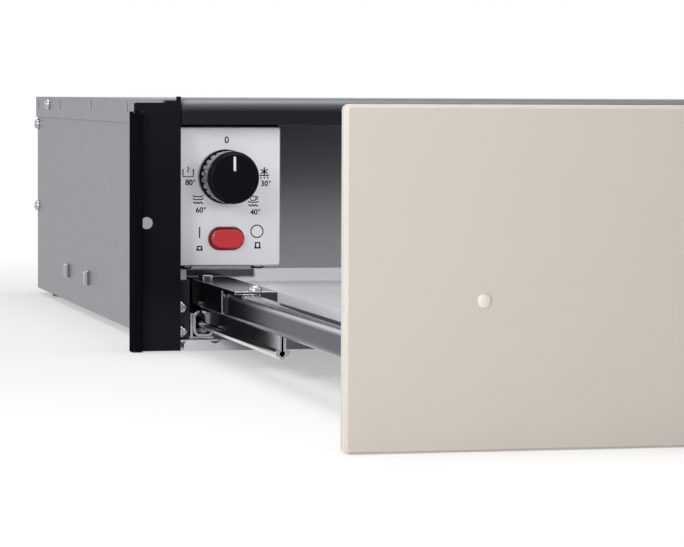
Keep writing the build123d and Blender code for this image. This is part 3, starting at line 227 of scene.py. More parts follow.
mixed = add(tree, "ShaderNodeMixShader", None, {
    0: share.outputs[0], 1: sheet.outputs[0], 2: glow.outputs[0],
})
add(tree, "ShaderNodeOutputMaterial", None, {"Surface": mixed.outputs[0]})
floor_mesh.materials.append(paper)
floor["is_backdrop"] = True
print("floor at", round(floor.location.z, 4))


# %% [markdown]
# ## Finishes
# Each finish is one shader. What is the same all over a surface is a plain number on that shader.
# What changes over it, such as the grain of rolled steel, is a pattern that reads Object
# coordinates: all pieces have their origin at the same point, so one metre of pattern is one metre
# of the object, and every scale below comes from a size in millimetres.
# Real edges are never quite sharp: sheet metal is folded over a radius and punched with a burr.
# A Bevel node bends the light on the last few tenths of a millimetre before each edge. The same
# node tells where an edge is: there its normal leaves the normal of the face, and the colour goes
# over to an edge colour. On the galvanised sheet that is a darker cut edge. On the other finishes the
# paler edge colour is partly a rubbed edge and partly a painted highlight.

# %% Start of a finish
EDGE_ROUND = 0.6
EDGE_MIX_START, EDGE_MIX_FULL = 0.99, 0.9


def finish(name, colour, metallic, roughness, extra=None, edge_mm=EDGE_ROUND):
    """A material with its constant values, its nodes, shader, Object coordinates and soft edge."""
    material = bpy.data.materials.new(name)
    material.use_nodes = True
    nodes = material.node_tree
    shader = nodes.nodes["Principled BSDF"]
    values = {"Base Color": srgb(colour), "Metallic": metallic, "Roughness": roughness}
    for socket, value in {**values, **(extra or {})}.items():
        shader.inputs[socket].default_value = value
    place = add(nodes, "ShaderNodeTexCoord").outputs["Object"]
    edge = add(nodes, "ShaderNodeBevel", {"samples": 4}, {"Radius": edge_mm * MM}).outputs[0]
    return material, nodes, shader, place, edge


def per_metre(size_mm):
    """Scale of a texture whose features are this many millimetres across."""
    return 1 / (size_mm * MM)


# Pale edge colours are partly wear and partly a painted highlight along the edge.
def edge_wear_and_highlight(nodes, edge, colour, edge_colour):
    """A colour that goes over to an edge colour where the Bevel node bends the surface. A pale edge colour
    is partly wear and partly a painted highlight.
    """
    face = add(nodes, "ShaderNodeNewGeometry").outputs["Normal"]
    along = add(nodes, "ShaderNodeVectorMath", {"operation": "DOT_PRODUCT"}, {0: edge, 1: face})
    rim = add(nodes, "ShaderNodeMapRange", None, {0: along.outputs["Value"], 1: EDGE_MIX_START, 2: EDGE_MIX_FULL})
    edge_mixed = add(nodes, "ShaderNodeMix", {"data_type": "RGBA"}, {
        0: rim.outputs[0], 6: colour, 7: srgb(edge_colour),
    })
    return edge_mixed.outputs[2]


# %% [markdown]
# ### Lacquer and powder coat
# The black frame, the light grey tray and the dark brackets are steel with a baked coat. A coat
# hides the metal, so metallic is 0 and the colour is the paint's. What shows that it is a coat is
# orange peel, flat bumps about a millimetre across and a hundredth of one deep, and a gloss that
# wanders a little with the tone.

# %% Coated steel
COAT_IOR, PEEL_STRENGTH, DRIFT_MM = 1.5, 0.6, 60
DRIFT_LOW, DRIFT_HIGH = 0.3, 0.7
COAT_GLOSSIER, COAT_DULLER = 0.04, 0.06


def coated_steel(name, colours, roughness, peel_mm, peel_height_mm, extra=None):
    """Baked coat in (base, light, edge) colours, with orange peel and slow changes of tone and gloss."""
    colour, light_colour, edge_colour = colours
    material, nodes, shader, place, edge = finish(
        name, colour, 0.0, roughness, {"IOR": COAT_IOR, **(extra or {})}
    )
    peel = add(nodes, "ShaderNodeTexNoise", None, {
        "Vector": place, "Scale": per_metre(peel_mm), "Detail": 2.0,
    })
    bump = add(nodes, "ShaderNodeBump", None, {
        "Height": peel.outputs["Fac"], "Distance": peel_height_mm * MM, "Strength": PEEL_STRENGTH,
        "Normal": edge,
    })
    nodes.links.new(bump.outputs[0], shader.inputs["Normal"])
    drift = add(nodes, "ShaderNodeTexNoise", None, {
        "Vector": place, "Scale": per_metre(DRIFT_MM), "Detail": 3.0,
    })
    tone = add(nodes, "ShaderNodeMix", {"data_type": "RGBA"}, {
        0: drift.outputs["Fac"], 6: srgb(colour), 7: srgb(light_colour),
    })
    # The paler edge colour is partly a rubbed coat and partly a painted highlight.
    edge_mixed = edge_wear_and_highlight(nodes, edge, tone.outputs[2], edge_colour)
    nodes.links.new(edge_mixed, shader.inputs["Base Color"])
    gloss = add(nodes, "ShaderNodeMapRange", None, {
        0: drift.outputs["Fac"], 1: DRIFT_LOW, 2: DRIFT_HIGH,
        3: roughness - COAT_GLOSSIER, 4: roughness + COAT_DULLER,
    })
    nodes.links.new(gloss.outputs[0], shader.inputs["Roughness"])
    return material


FINISH = {}
FINISH["black_lacquer"] = coated_steel(
    "Black satin lacquer", ("#121318", "#15161b", "#3c3d42"), 0.24, 1.2, 0.006,
    {"Specular IOR Level": 0.1},
)
FINISH["grey_lacquer"] = coated_steel(
    "Light grey powder coat", ("#dddee3", "#e2e3e7", "#f2f3f6"), 0.4, 1.0, 0.01
)
FINISH["dark_steel"] = coated_steel(
    "Dark grey powder coat", ("#1c1d22", "#222329", "#606167"), 0.36, 0.8, 0.01,
    {"Specular IOR Level": 0.25},
)
print("coated steels:", [m.name for m in FINISH.values()])

# %% [markdown]
# ### Bare metal with a direction
# Runners are rolled and the fascia is brushed: both carry fine lines that run one way. A noise that
# is stretched along that way gives the lines, and they steer colour, roughness and a very shallow
# relief together, because on the real thing they are the same scratches. The real lines are a few
# hundredths of a millimetre wide, too fine for the picture, so they are drawn some tenths wide and
# kept faint. Screws and the sheath of the heater have no such way, so their noise is not stretched.

# %% Bare metal
LINE_STRENGTH = 0.4
LINE_LOW, LINE_HIGH = 0.25, 0.75


def lined_metal(name, colours, metallic, roughness, spread, line_mm, stretch, relief_mm, extra=None):
    """Metal in (light, dark, edge) colours. Lines run along the axis with a small stretch value."""
    colour, dark_colour, edge_colour = colours
    material, nodes, shader, place, edge = finish(name, colour, metallic, roughness, extra)
    scaled = add(nodes, "ShaderNodeMapping", None, {"Vector": place, "Scale": stretch})
    lines = add(nodes, "ShaderNodeTexNoise", None, {
        "Vector": scaled.outputs[0], "Scale": per_metre(line_mm), "Detail": 3.0, "Roughness": 0.6,
    })
    tone = add(nodes, "ShaderNodeMix", {"data_type": "RGBA"}, {
        0: lines.outputs["Fac"], 6: srgb(dark_colour), 7: srgb(colour),
    })
    # The paler edge colour is partly wear and partly a painted highlight.
    edge_mixed = edge_wear_and_highlight(nodes, edge, tone.outputs[2], edge_colour)
    nodes.links.new(edge_mixed, shader.inputs["Base Color"])
    gloss = add(nodes, "ShaderNodeMapRange", None, {
        0: lines.outputs["Fac"], 1: LINE_LOW, 2: LINE_HIGH, 3: roughness - spread, 4: roughness + spread,
    })
    nodes.links.new(gloss.outputs[0], shader.inputs["Roughness"])
    bump = add(nodes, "ShaderNodeBump", None, {
        "Height": lines.outputs["Fac"], "Distance": relief_mm * MM, "Strength": LINE_STRENGTH,
        "Normal": edge,
    })
    nodes.links.new(bump.outputs[0], shader.inputs["Normal"])
    return material


ALONG_X, ALONG_Y, ALONG_Z, NO_WAY = (0.03, 1, 1), (1, 0.02, 1), (1, 1, 0.02), (1, 1, 1)
FINISH["satin_aluminium"] = lined_metal(
    "Brushed anodised aluminium", ("#f3f4f8", "#ebecf0", "#ffffff"), 0.8, 0.42, 0.04, 0.35, ALONG_X, 0.002
)
PLATED, PLATED_TINT = ("#56575c", "#4f5055", "#f0f0f2"), {"Specular Tint": srgb("#cbccd1")}
FINISH["rolled_steel"] = lined_metal(
    "Zinc plated rolled steel", PLATED, 1.0, 0.12, 0.02, 0.6, ALONG_Y, 0.0006, PLATED_TINT
)
FINISH["drawer_rail"] = lined_metal(
    "Plated drawer rail", PLATED, 1.0, 0.16, 0.02, 0.6, ALONG_Y, 0.0006, PLATED_TINT
)
FINISH["ball_track"] = lined_metal(
    "Polished ball track", ("#a4a5aa", "#98999e", "#f0f0f2"), 1.0, 0.1, 0.02, 0.6, ALONG_Y, 0.0006
)
FINISH["zinc_screws"] = lined_metal(
    "Bright zinc", ("#b4b5ba", "#a6a7ad", "#c8c9cd"), 1.0, 0.1, 0.02, 0.5, NO_WAY, 0.001
)
FINISH["edge_profile"] = lined_metal(
    "Black anodised aluminium", ("#121316", "#0f1013", "#b4b5ba"), 0.0, 0.42, 0.03, 0.3, ALONG_Z, 0.001,
    {"Specular IOR Level": 0.0},
)
FINISH["heater_steel"] = lined_metal(
    "Oxidised heater sheath", ("#6f6a66", "#4a4542", "#7d7873"), 0.9, 0.5, 0.1, 2.0, NO_WAY, 0.01
)
FINISH["motor_steel"] = lined_metal(
    "Zinc plated motor can", ("#a9aaad", "#96979a", "#c0c1c4"), 1.0, 0.35, 0.06, 0.6, ALONG_X, 0.003
)
FINISH["front_bar"] = lined_metal(
    "Dark anodised front bar", ("#212227", "#1d1e23", "#212227"), 0.8, 0.3, 0.02, 0.8, ALONG_X, 0.0002
)
FINISH["liner"] = lined_metal(
    "Aluminised steel liner", ("#f2f3f8", "#ecedf2", "#f6f7fa"), 0.65, 0.3, 0.02, 0.8, ALONG_X, 0.0005
)
print("finishes so far:", len(FINISH))

# %% [markdown]
# ### Painted highlights and shade that follow direction or height
# These are painted light and shade, here to match the photograph, because this plain studio does
# not give them by its light alone. The bar and the drawer rails are paler where they face up: a
# painted highlight. The lining of the cavity is darker towards its ceiling: painted shade. In the
# photograph the light also falls over the front bar as over a rounding wider than that of the solid
# model, so a wide Bevel radius shades the bar above its flat foot. The face of the edge strip is
# narrow, and a smaller radius than usual keeps it dark.

# %% Bar, drawer rails and liner
BAR_ROUND, STRIP_ROUND = 6.5, 0.35
BAR_FLAT, BAR_BLEND = 7.5, 2.0
BAR_FACING, RAIL_FACING = (0.05, 0.75), (0.02, 0.4)
LINER_PALE_Z, LINER_DARK_Z = -0.02, 0.12

for slot, radius_mm in (("front_bar", BAR_ROUND), ("edge_profile", STRIP_ROUND)):
    FINISH[slot].node_tree.nodes["Bevel"].inputs["Radius"].default_value = radius_mm * MM

painted_light_masks = {}
nodes = FINISH["front_bar"].node_tree
rounded = nodes.nodes["Bevel"].outputs[0]
flat_face = add(nodes, "ShaderNodeNewGeometry").outputs["Normal"]
bar_place = add(nodes, "ShaderNodeTexCoord").outputs["Object"]
bar_height = add(nodes, "ShaderNodeSeparateXYZ", None, {0: bar_place}).outputs["Z"]
bar_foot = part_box("top_front_bar")[0].z
above = add(nodes, "ShaderNodeMapRange", None, {
    0: bar_height, 1: bar_foot + BAR_FLAT * MM, 2: bar_foot + (BAR_FLAT + BAR_BLEND) * MM,
}).outputs[0]
upper_only = add(nodes, "ShaderNodeMix", {"data_type": "VECTOR"}, {0: above, 4: flat_face, 5: rounded})
nodes.links.new(upper_only.outputs[1], nodes.nodes["Bump"].inputs["Normal"])
# Where the rounding of the bar faces up its colour turns paler: a painted highlight.
upward = add(nodes, "ShaderNodeSeparateXYZ", None, {0: rounded}).outputs["Z"]
painted_light_masks["front_bar"] = add(nodes, "ShaderNodeMapRange", None, {
    0: upward, 1: BAR_FACING[0], 2: BAR_FACING[1], 4: above,
}).outputs[0]

# Where the drawer rails face up their colour turns paler: a painted highlight.
nodes = FINISH["drawer_rail"].node_tree
upward = add(nodes, "ShaderNodeSeparateXYZ", None, {0: nodes.nodes["Bevel"].outputs[0]}).outputs["Z"]
painted_light_masks["drawer_rail"] = add(nodes, "ShaderNodeMapRange", None, {
    0: upward, 1: RAIL_FACING[0], 2: RAIL_FACING[1],
}).outputs[0]

# The liner darkens towards the ceiling of the cavity: painted shade.
nodes = FINISH["liner"].node_tree
liner_place = add(nodes, "ShaderNodeTexCoord").outputs["Object"]
height = add(nodes, "ShaderNodeSeparateXYZ", None, {0: liner_place}).outputs["Z"]
painted_light_masks["liner"] = add(nodes, "ShaderNodeMapRange", {"interpolation_type": "SMOOTHSTEP"}, {
    0: height, 1: LINER_PALE_Z, 2: LINER_DARK_Z,
}).outputs[0]

# Colours of the painted highlights on the bar and the rails, and of the painted shade at the top of the
# liner.
for slot, colour in (("front_bar", "#6c6d72"), ("drawer_rail", "#f0f1f6"), ("liner", "#7a7b80")):
    nodes = FINISH[slot].node_tree
    base = nodes.nodes["Principled BSDF"].inputs["Base Color"]
    painted_tone = add(nodes, "ShaderNodeMix", {"data_type": "RGBA"}, {
        0: painted_light_masks[slot], 6: base.links[0].from_socket, 7: srgb(colour),
    })
    nodes.links.new(painted_tone.outputs[2], base)
print("finishes with a tone that changes:", list(painted_light_masks))

# %% [markdown]
# ### Galvanised sheet
# The casing is zinc-coated steel. Zinc freezes in flat crystals, which show as a faint patchwork
# of greys some millimetres across. Modern sheet has a very small spangle under a fine skin-pass
# texture, so from a distance it looks like satin grey paint. A Voronoi texture gives the crystal
# patches, and a fine noise gives the skin.

# %% Galvanised sheet
SPANGLE_MM = 4.0
SKIN_MM, SKIN_HEIGHT_MM, SKIN_STRENGTH = 0.6, 0.002, 0.5
ZINC_GLOSSIER, ZINC_DULLER = 0.03, 0.04


def galvanised_sheet(name, colour, light_colour, edge_colour, metallic, roughness):
    """Zinc-coated sheet with a faint spangle, a satin skin and dark cut edges."""
    material, nodes, shader, place, edge = finish(name, colour, metallic, roughness)
    crystals = add(nodes, "ShaderNodeTexVoronoi", None, {"Vector": place, "Scale": per_metre(SPANGLE_MM)})
    level = add(nodes, "ShaderNodeRGBToBW", None, {0: crystals.outputs["Color"]})
    tone = add(nodes, "ShaderNodeMix", {"data_type": "RGBA"}, {
        0: level.outputs[0], 6: srgb(colour), 7: srgb(light_colour),
    })
    edge_mixed = edge_wear_and_highlight(nodes, edge, tone.outputs[2], edge_colour)
    nodes.links.new(edge_mixed, shader.inputs["Base Color"])
    gloss = add(nodes, "ShaderNodeMapRange", None, {
        0: level.outputs[0], 3: roughness - ZINC_GLOSSIER, 4: roughness + ZINC_DULLER,
    })
    nodes.links.new(gloss.outputs[0], shader.inputs["Roughness"])
    fine = add(nodes, "ShaderNodeTexNoise", None, {
        "Vector": place, "Scale": per_metre(SKIN_MM), "Detail": 2.0,
    })
    bump = add(nodes, "ShaderNodeBump", None, {
        "Height": fine.outputs["Fac"], "Distance": SKIN_HEIGHT_MM * MM, "Strength": SKIN_STRENGTH,
        "Normal": edge,
    })
    nodes.links.new(bump.outputs[0], shader.inputs["Normal"])
    return material


FINISH["galvanised"] = galvanised_sheet("Galvanised sheet", "#808187", "#84858b", "#3c3d42", 0.4, 0.42)
print("galvanised sheet, spangle in mm:", SPANGLE_MM)

# %% [markdown]
# ### Plastics, print and rubber
# Moulded plastic takes its skin from the mould: spark-eroded steel leaves an even, very fine
# grain, and a polished mould leaves gloss. Noise at the size of that grain makes the relief. The
# red button and its bezel are clear-skinned gloss mouldings. The knob is glossier still, so its
# ribs glint, and the switch bodies are dull. The drop of resin on the glass uses the same shader.

# %% Moulded plastic
PLASTIC_IOR, GRAIN_STRENGTH, FLOW_MM = 1.49, 0.5, 18


def moulded(name, colour, light_colour, roughness, grain_mm, grain_height_mm, extra=None):
    """Injection moulding with the grain of its mould."""
    material, nodes, shader, place, edge = finish(
        name, colour, 0.0, roughness, {"IOR": PLASTIC_IOR, **(extra or {})}
    )
    grain = add(nodes, "ShaderNodeTexNoise", None, {
        "Vector": place, "Scale": per_metre(grain_mm), "Detail": 2.0,
    })
    bump = add(nodes, "ShaderNodeBump", None, {
        "Height": grain.outputs["Fac"], "Distance": grain_height_mm * MM, "Strength": GRAIN_STRENGTH,
        "Normal": edge,
    })
    nodes.links.new(bump.outputs[0], shader.inputs["Normal"])
    flow = add(nodes, "ShaderNodeTexNoise", None, {
        "Vector": place, "Scale": per_metre(FLOW_MM), "Detail": 2.0,
    })
    tone = add(nodes, "ShaderNodeMix", {"data_type": "RGBA"}, {
        0: flow.outputs["Fac"], 6: srgb(colour), 7: srgb(light_colour),
    })
    nodes.links.new(tone.outputs[2], shader.inputs["Base Color"])
    return material


FINISH["black_plastic"] = moulded(
    "Black ABS", "#101114", "#131417", 0.2, 0.3, 0.0005, {"Specular IOR Level": 0.04}
)
FINISH["gloss_black"] = moulded(
    "Gloss black ABS", "#131418", "#16171b", 0.08, 0.3, 0.0002, {"Specular IOR Level": 0.08}
)
FINISH["red_plastic"] = moulded(
    "Red polycarbonate", "#da2c31", "#e03439", 0.2, 1.5, 0.002,
    {"Coat Weight": 0.5, "Coat Roughness": 0.06},
)
FINISH["deep_red"] = moulded(
    "Deep red polycarbonate", "#8c1d22", "#932227", 0.25, 1.5, 0.002,
    {"Coat Weight": 0.6, "Coat Roughness": 0.05},
)
FINISH["white_print"] = moulded("White ABS inlay", "#f0f0f0", "#f6f6f6", 0.35, 0.4, 0.003)
FINISH["grey_nylon"] = moulded("Natural nylon", "#cfcec8", "#d8d7d2", 0.45, 0.4, 0.01)
FINISH["switch_plastic"] = moulded("Ivory thermoset", "#d9d3c2", "#e0dbcc", 0.5, 0.4, 0.01)
FINISH["dark_rubber"] = moulded("Black rubber", "#151515", "#1c1c1c", 0.7, 0.5, 0.02)
# The resin is paler than the glass under it: a painted highlight over the whole drop.
FINISH["clear_dot"] = moulded(
    "Clear resin", "#d8cfc6", "#dbd2c9", 0.4, 2.0, 0.001,
    {"Coat Weight": 0.4, "Coat Roughness": 0.2},
)
print("finishes so far:", len(FINISH))

# %% [markdown]
# ### Pearl beige glass
# The front is float glass that is enamelled on its back. The eye sees a smooth warm colour below
# a clear gloss, with the faint life of mica flakes in the enamel. Real transparent glass over a
# painted plane would cost much render time for little, so the shader puts a clear coat over a
# coloured ground. The flakes are drawn at 0.6 mm, larger than real ones, so that they can show.
# The edge of the glass is ground and polished, and its paler colour over more than a millimetre is a
# painted highlight.

# %% Enamelled glass
FLAKE_MM, FLAKE_SHARE, CLOUD_MM = 0.6, 0.35, 120
GLASS_EDGE_MM = 1.2
material, nodes, shader, place, edge = finish(
    "Enamelled glass", "#c3bab1", 0.0, 0.4,
    {"Coat Weight": 0.3, "Coat Roughness": 0.12, "Coat IOR": 1.52}, GLASS_EDGE_MM,
)
flakes = add(nodes, "ShaderNodeTexVoronoi", None, {"Vector": place, "Scale": per_metre(FLAKE_MM)})
flake_level = add(nodes, "ShaderNodeRGBToBW", None, {0: flakes.outputs["Color"]})
cloud = add(nodes, "ShaderNodeTexNoise", None, {
    "Vector": place, "Scale": per_metre(CLOUD_MM), "Detail": 2.0,
})
life = add(nodes, "ShaderNodeMath", {"operation": "MULTIPLY_ADD"}, {
    0: flake_level.outputs[0], 1: FLAKE_SHARE, 2: cloud.outputs["Fac"],
})
pearl = add(nodes, "ShaderNodeMix", {"data_type": "RGBA"}, {
    0: life.outputs[0], 6: srgb("#c1b8af"), 7: srgb("#c5bcb3"),
})
# Paler colour along the edge of the glass: a painted highlight.
pale_edge_highlight = edge_wear_and_highlight(nodes, edge, pearl.outputs[2], "#ebe4dd")
nodes.links.new(pale_edge_highlight, shader.inputs["Base Color"])
nodes.links.new(edge, shader.inputs["Normal"])
FINISH["pearl_glass"] = material
print("glass front:", material.name)

# %% [markdown]
# ### Mineral wool
# The mat over the cavity is pressed from fine fibres. A noise that is stretched and turned gives
# matted strands a few millimetres long, and a deep bump makes them throw small shadows.

# %% Mineral wool
FIBRE_MM, MATTING_MM, FIBRE_STRETCH, FIBRE_TURN = 1.5, 0.8, (1, 0.25, 1), (0, 0, 0.4)
material, nodes, shader, place, edge = finish(
    "Pressed mineral wool", "#b9a983", 0.0, 0.95, {"Specular IOR Level": 0.1}
)
strands = add(nodes, "ShaderNodeMapping", None, {
    "Vector": place, "Scale": FIBRE_STRETCH, "Rotation": FIBRE_TURN,
})
fibres = add(nodes, "ShaderNodeTexNoise", None, {
    "Vector": strands.outputs[0], "Scale": per_metre(FIBRE_MM), "Detail": 6.0,
})
wool = add(nodes, "ShaderNodeMix", {"data_type": "RGBA"}, {
    0: fibres.outputs["Fac"], 6: srgb("#9d8c66"), 7: srgb("#cdbf9b"),
})
nodes.links.new(wool.outputs[2], shader.inputs["Base Color"])
matting = add(nodes, "ShaderNodeBump", None, {
    "Height": fibres.outputs["Fac"], "Distance": MATTING_MM * MM, "Normal": edge,
})
nodes.links.new(matting.outputs[0], shader.inputs["Normal"])
FINISH["mineral_wool"] = material
print("all finishes:", len(FINISH))

# %% [markdown]
# ### Every piece gets its finish
# The record of the model names a material slot for each piece, and each slot has one finish here.
# Some pieces share a slot with others but look different on the real appliance. The cavity is
# lined with aluminised steel, which stands the heat, under a dark ceiling. The bar over it is
# anodised. The bezel is a deeper red than its button, the knob is gloss, and the rails are plated
# or polished.

# %% Hand out the finishes
slot_of = {entry["node"]: entry["material_slot"] for entry in frame["record"]["subparts"]}
special = {
    "cavity_rear_wall": "liner", "bottom_panel": "liner", "service_duct": "liner",
    "cavity_ceiling": "dark_steel", "top_front_bar": "front_bar",
    "button_bezel": "deep_red", "selector_knob": "gloss_black",
}
for side in ("left", "right"):
    special["drawer_rail_" + side] = "drawer_rail"
    for kind in ("middle_rail_", "fixed_rail_", "rail_support_"):
        special[kind + side] = "ball_track"
for node_name, piece in parts.items():
    piece.data.materials.clear()
    piece.data.materials.append(FINISH[special.get(node_name, slot_of[node_name])])
print("finished pieces:", len(slot_of))


# %% [markdown]
# ## Pieces that are made here
# Some details are too small for the solid model, such as the print, the balls in the runners and
# the pressed edges of the vent slots. They are made below as meshes. Each one rides on the body
# that carries it, so it goes along when that body moves.

# %% Helpers for new pieces
def add_piece(name, mesh, slot, body):
    """A finished piece of the scene, on its body and in its finish."""
    owner = bpy.data.objects.new(name, mesh)
    mesh.materials.clear()
    mesh.materials.append(FINISH[slot])
    scene.collection.objects.link(owner)
    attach(owner, body)
    return owner


def mesh_from(name, build):
    """A smooth mesh that a function fills through bmesh, in millimetres."""
    work = bmesh.new()
    build(work)
    bmesh.ops.recalc_face_normals(work, faces=work.faces)
    mesh = bpy.data.meshes.new(name)
    work.to_mesh(mesh)
    work.free()
    mesh.transform(Matrix.Scale(MM, 4))
    mesh.shade_smooth()
    return mesh


def skin(work, rings):
    """Closed skin over rings of points that all have the same number of points."""
    rows = [[work.verts.new(point) for point in ring] for ring in rings]
    for low, high in zip(rows, rows[1:]):
        for step in range(len(low)):
            following = (step + 1) % len(low)
            work.faces.new((low[step], low[following], high[following], high[step]))
    work.faces.new(rows[0])
    work.faces.new(rows[-1])


# %% [markdown]
# ### The touch dot
# The dot on the glass is a drop of clear resin. A drop has no flat top and no edge, so it catches
# the light on one side and fades into the glass on the other. It is a cap of a sphere: from its
# radius and its height follows the radius of the sphere, and rings of points lie on that sphere.

# %% Touch dot
DOT_RINGS, DOT_SIDES = 9, 48
dot_low, dot_high = (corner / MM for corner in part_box("touch_dot"))
dot_radius, dot_height = (dot_high.x - dot_low.x) / 2, dot_high.y - dot_low.y
dot_x, dot_z = (dot_low.x + dot_high.x) / 2, (dot_low.z + dot_high.z) / 2
sphere_radius = (dot_radius ** 2 + dot_height ** 2) / (2 * dot_height)


def drop(work):
    """Rings from the rim on the glass to near the crown."""
    rings = []
    for ring in range(DOT_RINGS):
        radius = dot_radius * math.cos(math.pi / 2 * ring / DOT_RINGS)
        depth = math.sqrt(sphere_radius ** 2 - radius ** 2) - (sphere_radius - dot_height)
        turns = [math.tau * side / DOT_SIDES for side in range(DOT_SIDES)]
        rings.append([
            (dot_x + radius * math.cos(turn), dot_high.y - depth, dot_z + radius * math.sin(turn))
            for turn in turns
        ])
    skin(work, rings)


dot = add_piece("resin_drop", mesh_from("Resin drop", drop), "clear_dot", "drawer")
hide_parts("touch_dot")
print("drop of resin, radius and height in mm:", round(dot_radius, 2), round(dot_height, 2))

# %% [markdown]
# ## What repeats
# Balls, pressed slots, grip ribs and terminal screws are one shape many times. Geometry Nodes say
# it once: a line of points, a copy of the shape on each point, and for a ring a turn that grows
# with the number of the point. The result is made real at the end, because a copy that only
# exists inside the modifier is lost when the model is exported.

# %% The tree
repeat = bpy.data.node_groups.new("Repeat a shape", "GeometryNodeTree")
sockets = {}
for name, kind in (
    ("Shape", "Geometry"), ("Count", "Int"), ("Step", "Vector"), ("Turn", "Vector"),
    ("Finish", "Material"),
):
    socket = repeat.interface.new_socket(name, in_out="INPUT", socket_type="NodeSocket" + kind)
    sockets[name] = socket.identifier
repeat.interface.new_socket("Copies", in_out="OUTPUT", socket_type="NodeSocketGeometry")
given = add(repeat, "NodeGroupInput").outputs
line = add(repeat, "GeometryNodeMeshLine", {"mode": "OFFSET"}, {
    "Count": given["Count"], "Offset": given["Step"],
})
number = add(repeat, "GeometryNodeInputIndex").outputs[0]
turned = add(repeat, "ShaderNodeVectorMath", {"operation": "SCALE"}, {0: given["Turn"], "Scale": number})
rotation = add(repeat, "FunctionNodeEulerToRotation", None, {0: turned.outputs[0]})
copies = add(repeat, "GeometryNodeInstanceOnPoints", None, {
    "Points": line.outputs[0], "Instance": given["Shape"], "Rotation": rotation.outputs[0],
})
real = add(repeat, "GeometryNodeRealizeInstances", None, {0: copies.outputs[0]})
coloured = add(repeat, "GeometryNodeSetMaterial", None, {
    "Geometry": real.outputs[0], "Material": given["Finish"],
})
add(repeat, "NodeGroupOutput", None, {0: coloured.outputs[0]})


def repeated(name, shape, count, step, turn, slot, body, place=(0, 0, 0)):
    """Copies of a shape as one plain mesh. Step and place are in millimetres, turn is in degrees."""
    owner = bpy.data.objects.new(name, shape)
    scene.collection.objects.link(owner)
    modifier = owner.modifiers.new("Repeat", "NODES")
    modifier.node_group = repeat
    modifier[sockets["Count"]] = count
    modifier[sockets["Step"]] = [value * MM for value in step]
    modifier[sockets["Turn"]] = [math.radians(value) for value in turn]
    modifier[sockets["Finish"]] = FINISH[slot]
    evaluated = owner.evaluated_get(bpy.context.evaluated_depsgraph_get())
    mesh = bpy.data.meshes.new_from_object(evaluated)
    bpy.data.objects.remove(owner)
    mesh.transform(Matrix.Translation(Vector(place) * MM))
    print(name, "has", count, "copies and", len(mesh.polygons), "faces")
    return add_piece(name, mesh, slot, body)


# %% [markdown]
# ### Balls in the runners
# Each middle rail runs in two ball tracks, one along its top and one along its foot, with four
# rows of steel balls in each. The nylon cages that keep them apart come from the solid model. The
# balls stand a little proud of the cages, where they touch the rails.

# %% Ball rows
BALL_RADIUS, BALL_PITCH, BALL_COUNT = 1.4, 5.0, 16
BALL_ASIDE, BALL_UP, CAGE_HALF = 2.6, 4.7, 5.8
LOWER_START, UPPER_START = 12.0, -190.0
for side in ("left", "right"):
    cage_low, cage_high = (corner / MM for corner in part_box("ball_cages_" + side))
    middle = (cage_low.x + cage_high.x) / 2
    tracks = ((cage_low.z + CAGE_HALF, LOWER_START), (cage_high.z - CAGE_HALF, UPPER_START))

    def balls(work):
        """The first ball of each row."""
        for z, start in tracks:
            for aside in (-BALL_ASIDE, BALL_ASIDE):
                for up in (-BALL_UP, BALL_UP):
                    at = Matrix.Translation((middle + aside, start + BALL_RADIUS / 3, z + up))
                    bmesh.ops.create_icosphere(work, subdivisions=2, radius=BALL_RADIUS, matrix=at)

    repeated(
        "balls_" + side, mesh_from("Balls", balls), BALL_COUNT, (0, BALL_PITCH, 0), (0, 0, 0),
        "zinc_screws", side + "_runner",
    )

# %% [markdown]
# ### Pressed edges of the vent slots
# A punch leaves a low bead round each slot, which also stiffens the sheet. The bead is a line
# round the slot with a round section. Half of it is sunk into the sheet.

# %% Vent beads
VENT_COUNT, VENT_PITCH, VENT_FIRST, VENT_Z = 14, 12.0, 42.0, 90.0
VENT_HALF_WIDTH, VENT_HALF_HEIGHT = 2.0, 11.0
BEAD_RADIUS, BEAD_SIDES = 0.45, 6
BEAD_CORNER, CORNER_STEPS = 0.5, 3
REAR_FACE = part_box("rear_panel")[1].y / MM


def slot_bead(work):
    """A ring of small circles that follows the outline of one slot."""
    corners = []
    for sign_x, sign_z, first in ((1, 1, 0), (-1, 1, 90), (-1, -1, 180), (1, -1, 270)):
        for step in range(CORNER_STEPS + 1):
            turn = math.radians(first + 90 / CORNER_STEPS * step)
            corners.append((
                sign_x * (VENT_HALF_WIDTH - BEAD_CORNER) + BEAD_CORNER * math.cos(turn),
                sign_z * (VENT_HALF_HEIGHT - BEAD_CORNER) + BEAD_CORNER * math.sin(turn),
                turn,
            ))
    rings = []
    for x, z, turn in corners:
        ring = []
        for side in range(BEAD_SIDES):
            roll = math.tau * side / BEAD_SIDES
            out = BEAD_RADIUS * math.cos(roll)
            ring.append((x + out * math.cos(turn), BEAD_RADIUS * math.sin(roll), z + out * math.sin(turn)))
        rings.append([work.verts.new(point) for point in ring])
    for low, high in zip(rings, rings[1:] + rings[:1]):
        for step in range(BEAD_SIDES):
            following = (step + 1) % BEAD_SIDES
            work.faces.new((low[step], low[following], high[following], high[step]))


repeated(
    "vent_beads", mesh_from("Bead", slot_bead), VENT_COUNT, (VENT_PITCH, 0, 0), (0, 0, 0),
    "galvanised", "casing", (VENT_FIRST, REAR_FACE, VENT_Z),
)

# %% [markdown]
# ### Grip ribs on the cable gland
# The gland is screwed in by hand, so its rim is ribbed. One rib is a bar with a half-round section
# that tapers at both ends, and it is repeated round the gland's axis.

